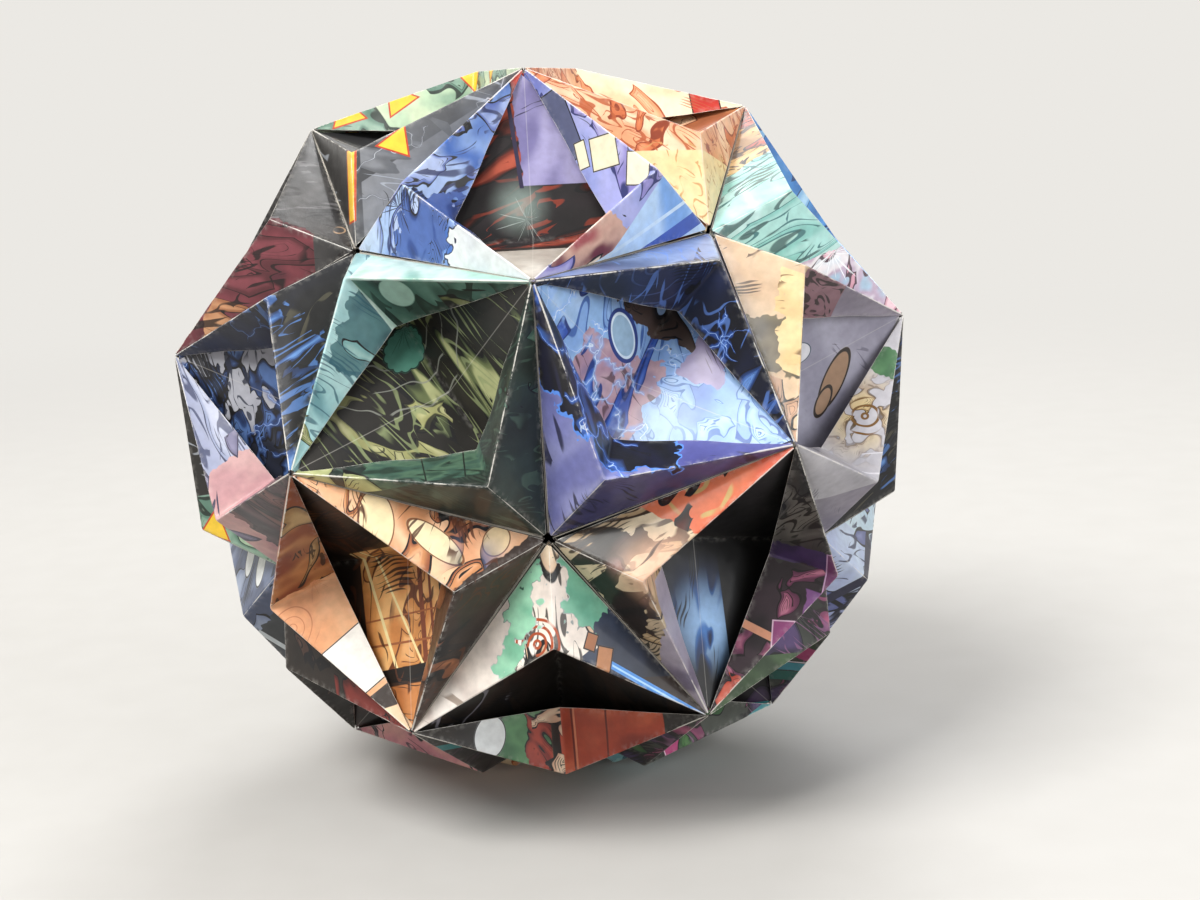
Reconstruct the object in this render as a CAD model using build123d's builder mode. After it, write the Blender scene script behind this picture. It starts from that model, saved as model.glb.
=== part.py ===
"""Kusudama paper ball: thirty square sheets, folded alike and tucked into each other.

Each sheet becomes a square with a valley fold across it, a tab on two opposite edges and
two flaps that are popped up over the square. Three sheets meet at each tip of the ball,
where their squares stand at right angles, and five meet at each hub between the tips.
A tab passes over the ridge between two tips' faces and lies under the flaps of the next
sheet, so the ball holds itself together with no glue and no thread.
"""
from build123d import *
from math import atan, atan2, cos, degrees, radians, sin, sqrt
import os

os.makedirs("parts", exist_ok=True)

# Driving dimensions, in millimetres
sheet_side = 152.4  # the square sheet before it is folded, six inches
paper = 0.1  # one ply of coated magazine paper
base_plies = 3  # plies in the square under the flaps
tab_plies = 3  # plies in each tab
flap_plies = 2  # plies in each popped flap
slip = 0.05  # room between two sheets that slide over each other
hub_hole = 1.0  # how far the folded corners stop short of the hub that they surround

base_wall = base_plies * paper
tab_wall = tab_plies * paper
flap_wall = flap_plies * paper
tab_room = tab_wall + slip  # height of a tab's outer face over the square that it lies on
flap_room = tab_room + slip  # height of a flap's underside over the same square

# The folded square, and the ball that thirty of them make. The hubs are the corners of an
# icosahedron whose edges are the valley folds, and each of its faces carries a right-angled
# three-sided pyramid whose top is a tip of the ball.
golden = (1 + sqrt(5)) / 2
square_side = sheet_side * sqrt(2) / 4
valley_length = square_side * sqrt(2)
valley_radius = valley_length * golden / 2
tip_radius = valley_length * (golden**2 / (2 * sqrt(3)) + 1 / sqrt(6))
tip_lean = atan(1 / golden**2)  # angle at the ball's centre between a sheet's middle and its tip
reach = 2 * sheet_side  # longer than any panel, for stock that is cut to shape

# One sheet's own frame: X along the valley fold, Y from tip to tip, Z out of the ball.
hub = Vector(valley_length / 2, 0, valley_radius)
far_hub = Vector(-valley_length / 2, 0, valley_radius)
tip = Vector(0, tip_radius * sin(tip_lean), tip_radius * cos(tip_lean))
far_tip = Vector(0, -tip_radius * sin(tip_lean), tip_radius * cos(tip_lean))
middle = Vector(0, 0, valley_radius)

# The corner at the tip is a cube's corner: out along the tab's ridge, out along the mouth's
# ridge, and into the ball.
tab_ridge = (hub - tip).normalized()
mouth_ridge = (far_hub - tip).normalized()
inward = tab_ridge.cross(mouth_ridge)
if inward.Z > 0:
    inward = inward * -1

# The popped flap: a half square with its right angle at the hub, creased to its incentre.
# The peak is the incentre, and the lip is the middle of the flap's free edge.
flap_inradius = square_side * (1 - sqrt(2) / 2)
ridge_rise = atan2((tip - hub).Z, (hub - tip).X)
peak = hub + Vector(-cos(2 * ridge_rise), 0, sin(2 * ridge_rise)) * (flap_inradius * sqrt(2))


def lip_corner():
    """Where the free edge's middle comes down to: as far from the tip as the middle of the
    square is, and as far from the peak as the flap's inradius."""
    swing = tip.Z - valley_radius
    across = Vector(peak.X, 0, peak.Z - tip.Z)
    along = (swing**2 - flap_inradius**2 + across.length**2) / (2 * across.length)
    aside = sqrt(swing**2 - along**2)
    line = across.normalized()
    return Vector(0, 0, tip.Z) + line * along + Vector(line.Z, 0, -line.X) * aside


lip = lip_corner()


def facing(point, toward):
    """The plane through a point that faces a direction."""
    return Plane(origin=point, z_dir=toward)


def over(first, second, third):
    """The plane through three corners of a panel that faces out of the ball."""
    out = (second - first).cross(third - first).normalized()
    if out.dot(first) < 0:
        out = out * -1
    return Plane(origin=first, x_dir=second - first, z_dir=out)


def panel(under, wall, bounds):
    """A flat panel that stands a wall's thickness out of its underside, kept in front of
    each bounding plane."""
    with BuildPart() as piece:
        with BuildSketch(under):
            Rectangle(reach, reach)
        extrude(amount=wall)
        for bound in bounds:
            split(bisect_by=bound, keep=Keep.TOP)
    return piece.part


def square_half():
    """The half of the square on the tip's side of the valley fold. It runs on to the tab's
    outer face at one ridge, and stops short of the next sheet's square at the other."""
    return panel(
        facing(tip + inward * base_wall, inward * -1),
        base_wall,
        [
            facing(middle, Vector(0, 1, 0)),
            facing(tip - mouth_ridge * tab_room, mouth_ridge),
            facing(tip + tab_ridge * (base_wall + slip), tab_ridge),
            facing(hub - Vector(hub_hole, 0, 0), Vector(-1, 0, 0)),
            facing(far_hub + Vector(hub_hole, 0, 0), Vector(1, 0, 0)),
        ],
    )


def tab():
    """The tab, turned down over the ridge on to the next sheet's square, which it covers
    from the ridge to that sheet's own valley fold."""
    next_out = (inward + tab_ridge) * tab_ridge.Z + mouth_ridge * inward.Z
    next_valley = (tab_ridge - inward).normalized()
    next_hub = tip + inward * square_side
    from_valley = next_valley.cross(next_out).normalized()
    if from_valley.dot(tip - hub) < 0:
        from_valley = from_valley * -1
    return panel(
        facing(tip - mouth_ridge * slip, mouth_ridge * -1),
        tab_wall,
        [
            facing(tip, inward),
            facing(tip + tab_ridge * (base_wall + slip), tab_ridge),
            facing(hub + from_valley * slip / 2, from_valley),
            facing(hub - next_valley * hub_hole, next_valley * -1),
            facing(next_hub + next_valley * hub_hole, next_valley),
        ],
    )


def flap_half(end, fold_side, ridge_bounds):
    """Two of the popped flap's four panels, those on one side of its middle: the outer one
    from the hub up to the crest, and the inner one from the crest down to the lip."""
    low_end, low_hub, low_peak, low_lip = (corner + lift for corner in (end, hub, peak, lip))
    outer = over(low_hub, low_end, low_peak)
    inner = over(low_end, low_peak, low_lip)
    crest = low_peak - low_end
    across_crest = (outer.z_dir - inner.z_dir).normalized()
    free_edge = low_lip - low_end
    from_edge = free_edge.cross(inner.z_dir).normalized()
    if from_edge.dot(crest) < 0:
        from_edge = from_edge * -1
    shared = ridge_bounds + [
        facing(middle, fold_side),
        facing(hub - Vector(hub_hole, 0, 0), Vector(-1, 0, 0)),
    ]
    return [
        panel(outer, flap_wall, shared + [facing(low_peak, across_crest)]),
        panel(
            inner,
            flap_wall,
            shared + [facing(low_peak, across_crest * -1), facing(low_lip, from_edge)],
        ),
    ]


def fold_wall():
    """The fold along the tab's ridge, where the paper turns up from the square and clears
    the tab that lies on it before it becomes the flap."""
    return panel(
        facing(tip, inward * -1),
        flap_room,
        [
            facing(tip - mouth_ridge * tab_room, mouth_ridge),
            facing(tip, mouth_ridge * -1),
            facing(tip + tab_ridge * (base_wall + slip), tab_ridge),
            facing(hub - Vector(hub_hole, 0, 0), Vector(-1, 0, 0)),
        ],
    )


def half_turn(direction):
    """A direction or place turned half round about the middle of the sheet."""
    return Vector(-direction.X, -direction.Y, direction.Z)


lift = Vector(0, 0, flap_room / -inward.Z)
tab_side_bounds = [
    facing(tip - inward * flap_room, inward * -1),
    facing(tip - mouth_ridge * tab_room, mouth_ridge),
    facing(tip - tab_ridge * tab_room, tab_ridge),
]
mouth_side_bounds = [
    facing(half_turn(tip - inward * flap_room), half_turn(inward * -1)),
    facing(half_turn(tip - mouth_ridge * tab_room), half_turn(mouth_ridge)),
]

panels = [square_half(), tab(), fold_wall()]
panels += flap_half(tip, Vector(0, 1, 0), tab_side_bounds)
panels += flap_half(far_tip, Vector(0, -1, 0), mouth_side_bounds)

with BuildPart() as half_sheet:
    for piece in panels:
        add(piece)

with BuildPart() as folded_sheet:
    for turn in (0, 180):
        add(half_sheet.part.rotate(Axis.Z, turn))


def on_sphere(radius, polar, azimuth):
    """A place at a radius from the ball's centre, polar degrees from straight down."""
    return Vector(
        radius * sin(radians(polar)) * cos(radians(azimuth)),
        radius * sin(radians(polar)) * sin(radians(azimuth)),
        -radius * cos(radians(polar)),
    )


# The twelve hubs, first with one straight down: a lower ring of five whose first hub is in
# front, at -Y, and an upper ring of five halfway between them.
hub_radius = hub.length
ring_count = 5
ring_step = 360 / ring_count
ring_polar = degrees(atan(2))
front = -90  # azimuth of -Y
lower_ring = [
    on_sphere(hub_radius, ring_polar, front + ring_step * step) for step in range(ring_count)
]
upper_ring = [
    on_sphere(hub_radius, 180 - ring_polar, front + ring_step * (step + 0.5))
    for step in range(ring_count)
]
bottom_hub = on_sphere(hub_radius, 0, front)
top_hub = on_sphere(hub_radius, 180, front)


def after(ring, step):
    """The next hub round a ring."""
    return ring[(step + 1) % ring_count]


# Each sheet's valley fold runs from one hub to a neighbouring one.
valleys = {}
for step in range(ring_count):
    valleys[f"bottom_sheet_{step + 1}"] = (bottom_hub, lower_ring[step])
    valleys[f"lower_sheet_{step + 1}"] = (lower_ring[step], after(lower_ring, step))
    valleys[f"belt_sheet_{2 * step + 1}"] = (lower_ring[step], upper_ring[step])
    valleys[f"belt_sheet_{2 * step + 2}"] = (upper_ring[step], after(lower_ring, step))
    valleys[f"upper_sheet_{step + 1}"] = (upper_ring[step], after(upper_ring, step))
    valleys[f"top_sheet_{step + 1}"] = (upper_ring[step], top_hub)


def along(valley):
    """Where a sheet's own frame stands when its valley fold joins two hubs."""
    start, end = valley
    return Plane(origin=(0, 0, 0), x_dir=start - end, z_dir=start + end).location


def corners(place):
    """Every corner of a folded sheet that stands at a place in the ball."""
    return [corner.center() for corner in folded_sheet.part.moved(place).vertices()]


# The ball comes to rest on one tip behind the bottom hub, and on the crests of the two
# sheets that reach that tip from the hub. The row's Z stands square on those three corners.
tip_polar = degrees(atan(2 / golden**2))  # the five tips round the bottom hub
rest_tip = on_sphere(tip_radius, tip_polar, front + 180)
right_corners = corners(along(valleys["bottom_sheet_3"]))
left_corners = corners(along(valleys["bottom_sheet_4"]))
right_foot = min(right_corners, key=lambda corner: corner.Z)
left_foot = min(left_corners, key=lambda corner: corner.Z)
back_foot = max(left_corners, key=lambda corner: corner.dot(rest_tip))
up = (back_foot - left_foot).cross(right_foot - left_foot).normalized()
if up.Z < 0:
    up = up * -1
upright = Plane(origin=(0, 0, 0), x_dir=(1, 0, 0), z_dir=up).location.inverse()

standing = [corner for valley in valleys.values() for corner in corners(upright * along(valley))]
low = Vector(*(min(getattr(corner, axis) for corner in standing) for axis in "XYZ"))
high = Vector(*(max(getattr(corner, axis) for corner in standing) for axis in "XYZ"))
ball_centre = Vector(-(low.X + high.X) / 2, -(low.Y + high.Y) / 2, -low.Z)
row_frame = Location(ball_centre) * upright

for name, valley in valleys.items():
    with BuildPart() as sheet:
        with Locations(row_frame * along(valley)):
            add(folded_sheet.part)
    sheet.part.label = name
    export_step(sheet.part, f"parts/{name}.step")

print("ball", high - low, "centre at", ball_centre)
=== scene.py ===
"""Printed kusudama paper ball: thirty folded sheets of coated magazine paper, with worn folds.

Each sheet is a skin worked out with numpy in the sheet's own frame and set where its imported
solid stands. The prints are fields of colour, brush shapes, hatching and empty boxes. On the
front sheets the fields and the larger shapes stand about where the photograph's prints have theirs.
"""

from math import atan, atan2, cos, pi, radians, sin, sqrt
from types import SimpleNamespace

import bpy
import numpy as np
from bpy.props import FloatProperty, FloatVectorProperty, PointerProperty
from bpy.types import Operator, Panel, PropertyGroup
from mathutils import Euler, Matrix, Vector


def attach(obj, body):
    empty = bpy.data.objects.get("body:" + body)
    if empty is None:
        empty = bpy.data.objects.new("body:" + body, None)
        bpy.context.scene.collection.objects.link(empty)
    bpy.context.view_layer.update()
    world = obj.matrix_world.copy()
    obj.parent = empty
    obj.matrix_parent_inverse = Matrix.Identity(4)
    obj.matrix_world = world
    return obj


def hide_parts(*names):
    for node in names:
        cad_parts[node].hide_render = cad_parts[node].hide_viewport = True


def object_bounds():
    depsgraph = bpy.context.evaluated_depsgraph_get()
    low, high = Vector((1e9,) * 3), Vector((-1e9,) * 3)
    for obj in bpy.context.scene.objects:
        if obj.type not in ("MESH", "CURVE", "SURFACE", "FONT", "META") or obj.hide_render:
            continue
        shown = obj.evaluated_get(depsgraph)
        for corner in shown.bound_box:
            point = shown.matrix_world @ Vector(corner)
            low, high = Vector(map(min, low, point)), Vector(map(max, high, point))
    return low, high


bl_info = {
    "name": "Kusudama paper ball",
    "version": (1, 0, 0),
    "blender": (4, 5, 0),
    "location": "View3D > Sidebar > Kusudama",
    "description": "Dresses the thirty folded sheets of a kusudama ball in worn printed paper",
    "category": "Object",
}

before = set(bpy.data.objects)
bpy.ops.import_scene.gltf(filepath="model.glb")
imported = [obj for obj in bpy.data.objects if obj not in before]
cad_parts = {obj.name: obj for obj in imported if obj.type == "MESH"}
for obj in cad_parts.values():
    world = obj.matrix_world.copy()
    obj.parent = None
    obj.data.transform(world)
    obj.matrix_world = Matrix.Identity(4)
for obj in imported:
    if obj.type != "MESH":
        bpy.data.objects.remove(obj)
cad_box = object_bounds()

MM = 0.001
RING = 5  # hubs in each ring round the ball
PLIES = 0.3 * MM  # the stacked plies of a square or a tab
SLIP = 0.05 * MM  # room between a square and what lies on it
FLAP_LIFT = PLIES + 2 * SLIP  # how far a flap stands over its own square
CREST_BEND, CREASE_BEND = 0.02, 0.035  # how far from a fold its bend reaches, as shares
# The second distance marks the fold wall in the gap below a ridge, which the prints paint dark as
# shade.
FAR_FROM_FOLD, IN_SHADED_GAP = 5.0, -1.0  # stand-in distances from a fold, in mm
FIRST_SEED = 40  # of the sheets' own scatter
RULED_EDGE, LINE_EDGE = 0.05, 0.12  # half the soft edge of a ruled shape and of a zone, in mm


# Sizes and colours


def tint(name, description, code):
    """A colour property with a default given as a web colour."""
    return FloatVectorProperty(
        name=name, description=description, subtype="COLOR", size=3, min=0, max=1,
        default=linear(code)[:3],
    )


def linear(code):
    """The scene-linear colour of a six-digit web colour."""
    parts = np.array([int(code[at:at + 2], 16) for at in (0, 2, 4)]) / 255
    low, high = parts / 12.92, ((parts + 0.055) / 1.055) ** 2.4
    return (*np.where(parts <= 0.04045, low, high).tolist(), 1.0)


class FoldSizes(PropertyGroup):
    """Sizes of the folded sheets."""

    sheet_side: FloatProperty(
        name="Sheet side", description="Side of the square sheet before it is folded",
        default=0.1524, min=0.05, unit="LENGTH",
    )
    flap_wall: FloatProperty(
        name="Flap wall", description="Thickness of the two plies of a popped flap",
        default=0.00016, min=0.00005, unit="LENGTH",
    )
    bow: FloatProperty(
        name="Bow", description="How far a panel of springy paper bows between its folds",
        default=0.00045, min=0, unit="LENGTH",
    )
    drift: FloatProperty(
        name="Drift", description="How far a hand-folded peak or lip strays from its place",
        default=0.0007, min=0, unit="LENGTH",
    )


class PaperColours(PropertyGroup):
    """Colours that every print shares."""

    # The ink also paints the shade in the gaps below the ridges.
    ink: tint("Ink", "The dark of the brush lines and blots", "0b0b10")
    bare: tint("Bare paper", "The paper where the print has worn off", "ece8df")
    inside: tint("Inside", "The side of the sheet that is folded away", "cfc9bd")
    floor: tint("Floor", "The pale floor and backdrop", "c0beba")
    wear: FloatProperty(
        name="Wear", description="How much print has worn off along the folds",
        default=1.0, min=0, max=3,
    )


# Shapes


def unit(vectors):
    """Each vector divided by its length."""
    return vectors / np.linalg.norm(vectors, axis=-1, keepdims=True)


def fold_shape(sizes):
    """The corners of one folded sheet in its own frame: X along the valley fold from one hub
    to the other, Y from tip to tip, Z out of the ball. Three squares stand at right angles at
    a tip, and a flap's peak is the incentre of its half square."""
    golden = (1 + sqrt(5)) / 2
    square = sizes.sheet_side * sqrt(2) / 4
    half = square / sqrt(2)
    valley = half * golden
    tip_radius = 2 * half * (golden**2 / (2 * sqrt(3)) + 1 / sqrt(6))
    lean = atan(1 / golden**2)
    hub = np.array([half, 0, valley])
    tip = np.array([0, tip_radius * sin(lean), tip_radius * cos(lean)])
    turned = np.array([-1, -1, 1])
    ridge = unit(hub - tip)
    mouth = unit(hub * turned - tip)
    inward = np.cross(ridge, mouth)
    inward = inward * -np.sign(inward[2])
    inradius = square * (1 - sqrt(2) / 2)
    rise = atan2(tip[2] - hub[2], hub[0])
    peak = hub + np.array([-cos(2 * rise), 0, sin(2 * rise)]) * inradius * sqrt(2)
    swing = tip[2] - valley
    across = peak - tip * (0, 0, 1)
    along = (swing**2 - inradius**2 + across @ across) / (2 * np.linalg.norm(across))
    line = unit(across)
    aside = sqrt(swing**2 - along**2)
    lip = tip * (0, 0, 1) + line * along + np.array([line[2], 0, -line[0]]) * aside
    return SimpleNamespace(
        square=square, half=half, valley=valley, hub=hub, tip=tip, turned=turned,
        mouth=mouth, inward=inward, inradius=inradius, peak=peak, lip=lip,
    )


def bent(start, corner, end, share, rounding):
    """Points on the bent line start-corner-end: share runs from -1 at the start through 0 at
    the corner to 1 at the end, and within the rounding the line is the parabola that touches
    both legs."""
    share = share[..., None]
    legs = np.where(share < 0, corner + (start - corner) * -share, corner + (end - corner) * share)
    turn = np.clip((share + rounding) / (2 * rounding), 0, 1)
    arc = (
        (1 - turn) ** 2 * (corner + (start - corner) * rounding)
        + 2 * turn * (1 - turn) * corner
        + turn**2 * (corner + (end - corner) * rounding)
    )
    return np.where(np.abs(share) < rounding, arc, legs)


def closer(count, rounding, end):
    """Shares from -end to end that lie closer together round the fold at 0."""
    inner = np.linspace(0, rounding, 4)
    outer = rounding + (end - rounding) * np.linspace(0, 1, count) ** 1.25
    half = np.concatenate([inner, outer[1:]])
    return np.concatenate([-half[:0:-1], half])


def surface_normals(grid):
    """Unit normals of a grid of points, from the cross product of its two differences."""
    return unit(np.cross(np.gradient(grid, axis=0), np.gradient(grid, axis=1)))


def distance_to(places, start, end):
    """Distance of flat places from the stretch between two flat points."""
    run = end - start
    share = np.clip((places - start) @ run / (run @ run), 0, 1)
    return np.linalg.norm(places - start - share[..., None] * run, axis=-1)


def popped_flap(shape, sizes, random):
    """One popped flap. With w along the flap from tip to tip and v from the outer edge over
    the crest to the lip, a point is the bent line over v between three bent lines over w,
    through the hub, the peak and the lip. Each of its four panels bows by
    sin(pi w) sin(pi v), and the lip waves a little."""
    end = 0.985  # a flap stops just short of both tips
    w, v = np.meshgrid(closer(21, CREST_BEND, end), closer(11, CREASE_BEND, 1), indexing="ij")
    lift = np.array([0, 0, FLAP_LIFT / -shape.inward[2]])
    stray = random.uniform(-1, 1, (2, 3)) * sizes.drift * (1, 0.6, 0.6)
    far = shape.tip * shape.turned + lift
    near, hub, peak, lip = (
        corner + lift for corner in (
            shape.tip, shape.hub, shape.peak + stray[0], shape.lip + stray[1])
    )
    lines = [bent(near, corner, far, w, CREST_BEND) for corner in (hub, peak, lip)]
    slack = random.uniform(0.008, 0.045, 2)  # each half's outer edge stands back from the hub
    ease = np.where(w < 0, *slack)[..., None] * (1 - 0.5 * np.abs(w[..., None]))
    lines[0] = lines[0] + (lines[1] - lines[0]) * ease
    under = bent(*lines, v, CREASE_BEND)
    normals = surface_normals(under)
    normals = normals * np.sign((normals[..., 2]).sum())
    bows = random.uniform(0.1, 1, 4) * sizes.bow * (1, 1, -0.5, -0.5)
    panel = (w > 0) * 1 + (v > 0) * 2
    swell = bows[panel] * np.abs(np.sin(pi * w) * np.sin(pi * v))
    beat, start = random.uniform(1, 2), random.uniform(0, 2 * pi)
    wave = 0.3 * MM * np.clip(v, 0, 1) ** 2 * (1 - w**2) * np.sin(2 * pi * beat * w + start)
    under = under + normals * (swell + wave)[..., None]
    rim = 0.04  # the share of the flap over which its wall thins to half at an edge
    taper = np.clip((v + 1) / rim, 0.5, 1) * np.clip((1 - v) / rim, 0.5, 1)
    outer = under + normals * (sizes.flap_wall * taper)[..., None]

    # The same corners on the flat sheet, in mm.
    half, centre = shape.half / MM, shape.inradius / MM
    tip, far, hub, peak, lip = np.array([
        [0, half], [0, -half], [half, 0], [centre, 0], [0, 0]])
    flat_lines = [bent(tip, corner, far, w, CREST_BEND) for corner in (hub, peak, lip)]
    flat = bent(*flat_lines, v, CREASE_BEND)
    folds = ((tip, peak), (far, peak), (hub, peak), (tip, hub), (far, hub), (tip, far))
    worn = np.min([distance_to(flat, *fold) for fold in folds], 0)
    return outer, under, flat, worn


def tab_plate(shape, bow):
    """The tab on the next sheet's square: straight lines from the ridge to the next valley
    fold, bowed by sin(pi a) sin(pi b)."""
    a, b = np.meshgrid(np.linspace(0.02, 0.97, 15), np.linspace(0, 0.999, 11), indexing="ij")
    next_hub = shape.tip + shape.inward * shape.square
    ridge = shape.tip + (shape.hub - shape.tip) * a[..., None]
    valley = next_hub + (shape.hub - next_hub) * a[..., None]
    face = ridge + (valley - ridge) * b[..., None]
    out = -shape.mouth
    swell = bow * np.sin(pi * a) * np.sin(pi * b)
    outer = face + out * (SLIP + PLIES + swell)[..., None]
    worn = (1 - b) * np.linalg.norm(valley - ridge, axis=-1) * sqrt(0.5) / MM
    return outer, face + out * SLIP, worn


def fold_wall(shape):
    """The fold along the tab's ridge: a strip as wide as the tab's room and as high as the
    flap's, carried straight from tip to hub."""
    a, b = np.meshgrid(np.linspace(0.02, 0.975, 9), np.linspace(0, 1, 2), indexing="ij")
    line = shape.tip + (shape.hub - shape.tip) * a[..., None]
    foot = line - shape.mouth * PLIES * b[..., None]
    return foot - shape.inward * (FLAP_LIFT + 0.02 * MM), foot + shape.inward * 2 * SLIP


def valley_square(shape):
    """The square under the flaps: rows from one tip over the valley fold to the other, and
    straight lines from the fold's points to the tips."""
    a, b = np.meshgrid(np.linspace(-0.97, 0.97, 13), np.linspace(-0.985, 0.985, 9), indexing="ij")
    middle = shape.hub * (1, 0, 0) * a[..., None] + shape.hub * (0, 0, 1)
    tips = np.where(b[..., None] < 0, shape.tip * shape.turned, shape.tip)
    outer = middle + (tips - middle) * np.abs(b)[..., None]
    half = shape.half / MM
    flat = np.stack([half * a * (1 - np.abs(b)), half * b], -1)
    return outer, outer - np.array([0, 0, PLIES / -shape.inward[2]]), flat


def shell(outer, under):
    """Points and faces of the closed skin between two grids that match: both sides and a rim
    round them, turned to face outwards, and the number of faces in each of the three."""
    rows, columns = outer.shape[:2]
    points = np.concatenate([outer.reshape(-1, 3), under.reshape(-1, 3)])
    index = np.arange(rows * columns).reshape(rows, columns)
    top = np.stack([index[:-1, :-1], index[1:, :-1], index[1:, 1:], index[:-1, 1:]], -1)
    top = top.reshape(-1, 4)
    ring = np.concatenate([index[:-1, 0], index[-1, :-1], index[:0:-1, -1], index[0, :0:-1]])
    after, below = np.roll(ring, -1), rows * columns
    rim = np.stack([ring, ring + below, after + below, after], -1)
    faces = np.concatenate([top, top[:, ::-1] + below, rim])
    centre = points.mean(0)
    a, b, c, d = (points[faces[:, k]] - centre for k in range(4))
    volume = (np.einsum("ij,ij->i", a, np.cross(b, c)) + np.einsum("ij,ij->i", a, np.cross(c, d)))
    if volume.sum() < 0:
        faces = faces[:, ::-1]
    return points, faces, (len(top), len(top), len(rim))


# Where the sheets stand


def face_centre(node):
    """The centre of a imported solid's surface: its triangles' centres weighed by their area."""
    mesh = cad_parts[node].data
    mesh.calc_loop_triangles()
    corners = np.empty(len(mesh.vertices) * 3, np.float32)
    mesh.vertices.foreach_get("co", corners)
    thirds = np.empty(len(mesh.loop_triangles) * 3, np.int32)
    mesh.loop_triangles.foreach_get("vertices", thirds)
    a, b, c = corners.reshape(-1, 3).astype(float)[thirds.reshape(-1, 3)].transpose(1, 0, 2)
    area = np.linalg.norm(np.cross(b - a, c - a), axis=1)
    return ((a + b + c) / 3 * area[:, None]).sum(0) / area.sum()


def hub_directions(centre):
    """The directions of the twelve hubs from the ball's centre. A sheet's middle lies halfway
    between its two hubs, so five middles give the end hub, and each mirrors it to a ring."""
    hubs = {}
    for end, ring in (("bottom", "lower"), ("top", "upper")):
        middles = unit(np.array([
            face_centre(f"{end}_sheet_{step}") - centre for step in range(1, RING + 1)]))
        hubs[end] = unit(middles.sum(0))
        for step, middle in enumerate(middles):
            hubs[f"{ring}_{step + 1}"] = 2 * (middle @ hubs[end]) * middle - hubs[end]
    return hubs


def valley_ends():
    """The two hubs that each sheet's valley fold joins."""
    ends = {}
    for step in range(1, RING + 1):
        after = step % RING + 1
        ends[f"bottom_sheet_{step}"] = ("bottom", f"lower_{step}")
        ends[f"lower_sheet_{step}"] = (f"lower_{step}", f"lower_{after}")
        ends[f"belt_sheet_{2 * step - 1}"] = (f"lower_{step}", f"upper_{step}")
        ends[f"belt_sheet_{2 * step}"] = (f"upper_{step}", f"lower_{after}")
        ends[f"upper_sheet_{step}"] = (f"upper_{step}", f"upper_{after}")
        ends[f"top_sheet_{step}"] = (f"upper_{step}", "top")
    return ends


def sheet_axes(start, end):
    """The rows X, Y and Z of the frame of a sheet whose valley fold joins two hubs."""
    along, out = unit(start - end), unit(start + end)
    return np.array([along, np.cross(out, along), out])


def host_flat(places, axes, valley):
    """The flat place, on the square of the sheet that a tab lies on, of places given from the
    ball's centre: along the valley fold, and up the half square from it."""
    x, y, z = (places @ axes.T).transpose(2, 0, 1)
    return np.stack([x, np.sign(y) * np.hypot(y, z - valley)], -1) / MM


# Node tools


class Tree:
    """Adds nodes to one node tree and links them as they come."""

    def __init__(self, tree):
        self.tree = tree

    def add(self, kind, inputs=None, **settings):
        """A node with its settings, and its inputs by name or number."""
        node = self.tree.nodes.new("ShaderNode" + kind)
        for key, value in settings.items():
            setattr(node, key, value)
        for key, value in (inputs or {}).items():
            self.put(node.inputs[key], value)
        return node

    def put(self, socket, value):
        """Links an output to the socket, or sets a plain value."""
        if isinstance(value, bpy.types.NodeSocket):
            self.tree.links.new(value, socket)
        else:
            socket.default_value = value

    def math(self, operation, *values):
        return self.add("Math", dict(enumerate(values)), operation=operation).outputs[0]

    def vector(self, operation, *values, out=0):
        node = self.add("VectorMath", operation=operation)
        for socket, value in zip([s for s in node.inputs if s.enabled], values):
            self.put(socket, value)
        return node.outputs[out]

    def step(self, value, low, high):
        """0 below low, 1 above high, smooth between them."""
        inputs = {"Value": value, "From Min": low, "From Max": high}
        return self.add("MapRange", inputs, interpolation_type="SMOOTHSTEP").outputs[0]

    def below(self, value, width):
        """1 under a width, with a soft edge."""
        return self.step(value, width, self.math("MULTIPLY", width, 0.6))

    def inside(self, value, limit=0.0):
        """1 where a length is under the limit, with the edge of a ruled shape."""
        return self.step(value, limit + RULED_EDGE, limit - RULED_EDGE)

    def level(self, share, top, span=0.36):
        """The noise level that a share of the paper lies above: top for none, less for more."""
        return self.math("SUBTRACT", top, self.math("MULTIPLY", share, span))

    def scaled(self, vector, factor):
        node = self.add("VectorMath", {0: vector}, operation="SCALE")
        self.put(node.inputs["Scale"], factor)
        return node.outputs[0]

    def mix(self, share, below, above):
        return self.add("Mix", {0: share, 6: below, 7: above}, data_type="RGBA").outputs[2]

    def noise(self, place, scale, detail=1.0, distortion=0.0, out="Fac"):
        inputs = {"Vector": place, "Scale": scale, "Detail": detail, "Distortion": distortion}
        return self.add("TexNoise", inputs, noise_dimensions="2D").outputs[out]

    def turned(self, place, angle):
        """The place turned about Z by an angle in radians."""
        inputs = {"Vector": place, "Angle": angle}
        return self.add("VectorRotate", inputs, rotation_type="Z_AXIS").outputs[0]

    def apart(self, place):
        return self.add("SeparateXYZ", {0: place}).outputs

    def joined(self, *values):
        return self.add("CombineXYZ", dict(enumerate(values))).outputs[0]

    def drawn_out(self, place, stretch):
        """The place squeezed along Y, so that what is drawn there comes out longer."""
        return self.vector(
            "MULTIPLY", place, self.joined(1.0, self.math("DIVIDE", 1.0, stretch)))


def effect(name, inputs, outputs):
    """A shader node group with named sockets. Returns its tree and its input sockets; the
    outputs are linked by close_effect."""
    group = bpy.data.node_groups.new(name, "ShaderNodeTree")
    for label, default in inputs.items():
        kind = "NodeSocketVector" if default is None else "NodeSocketFloat"
        socket = group.interface.new_socket(label, in_out="INPUT", socket_type=kind)
        if default is not None:
            socket.default_value = default
    for label in outputs:
        group.interface.new_socket(label, in_out="OUTPUT", socket_type="NodeSocketFloat")
    tree = Tree(group)
    entry = group.nodes.new("NodeGroupInput").outputs
    return tree, entry


def close_effect(tree, values):
    """Links the values to a group's outputs, in their order."""
    leave = tree.tree.nodes.new("NodeGroupOutput")
    for socket, value in zip(leave.inputs, values):
        tree.tree.links.new(value, socket)
    return tree.tree


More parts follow.
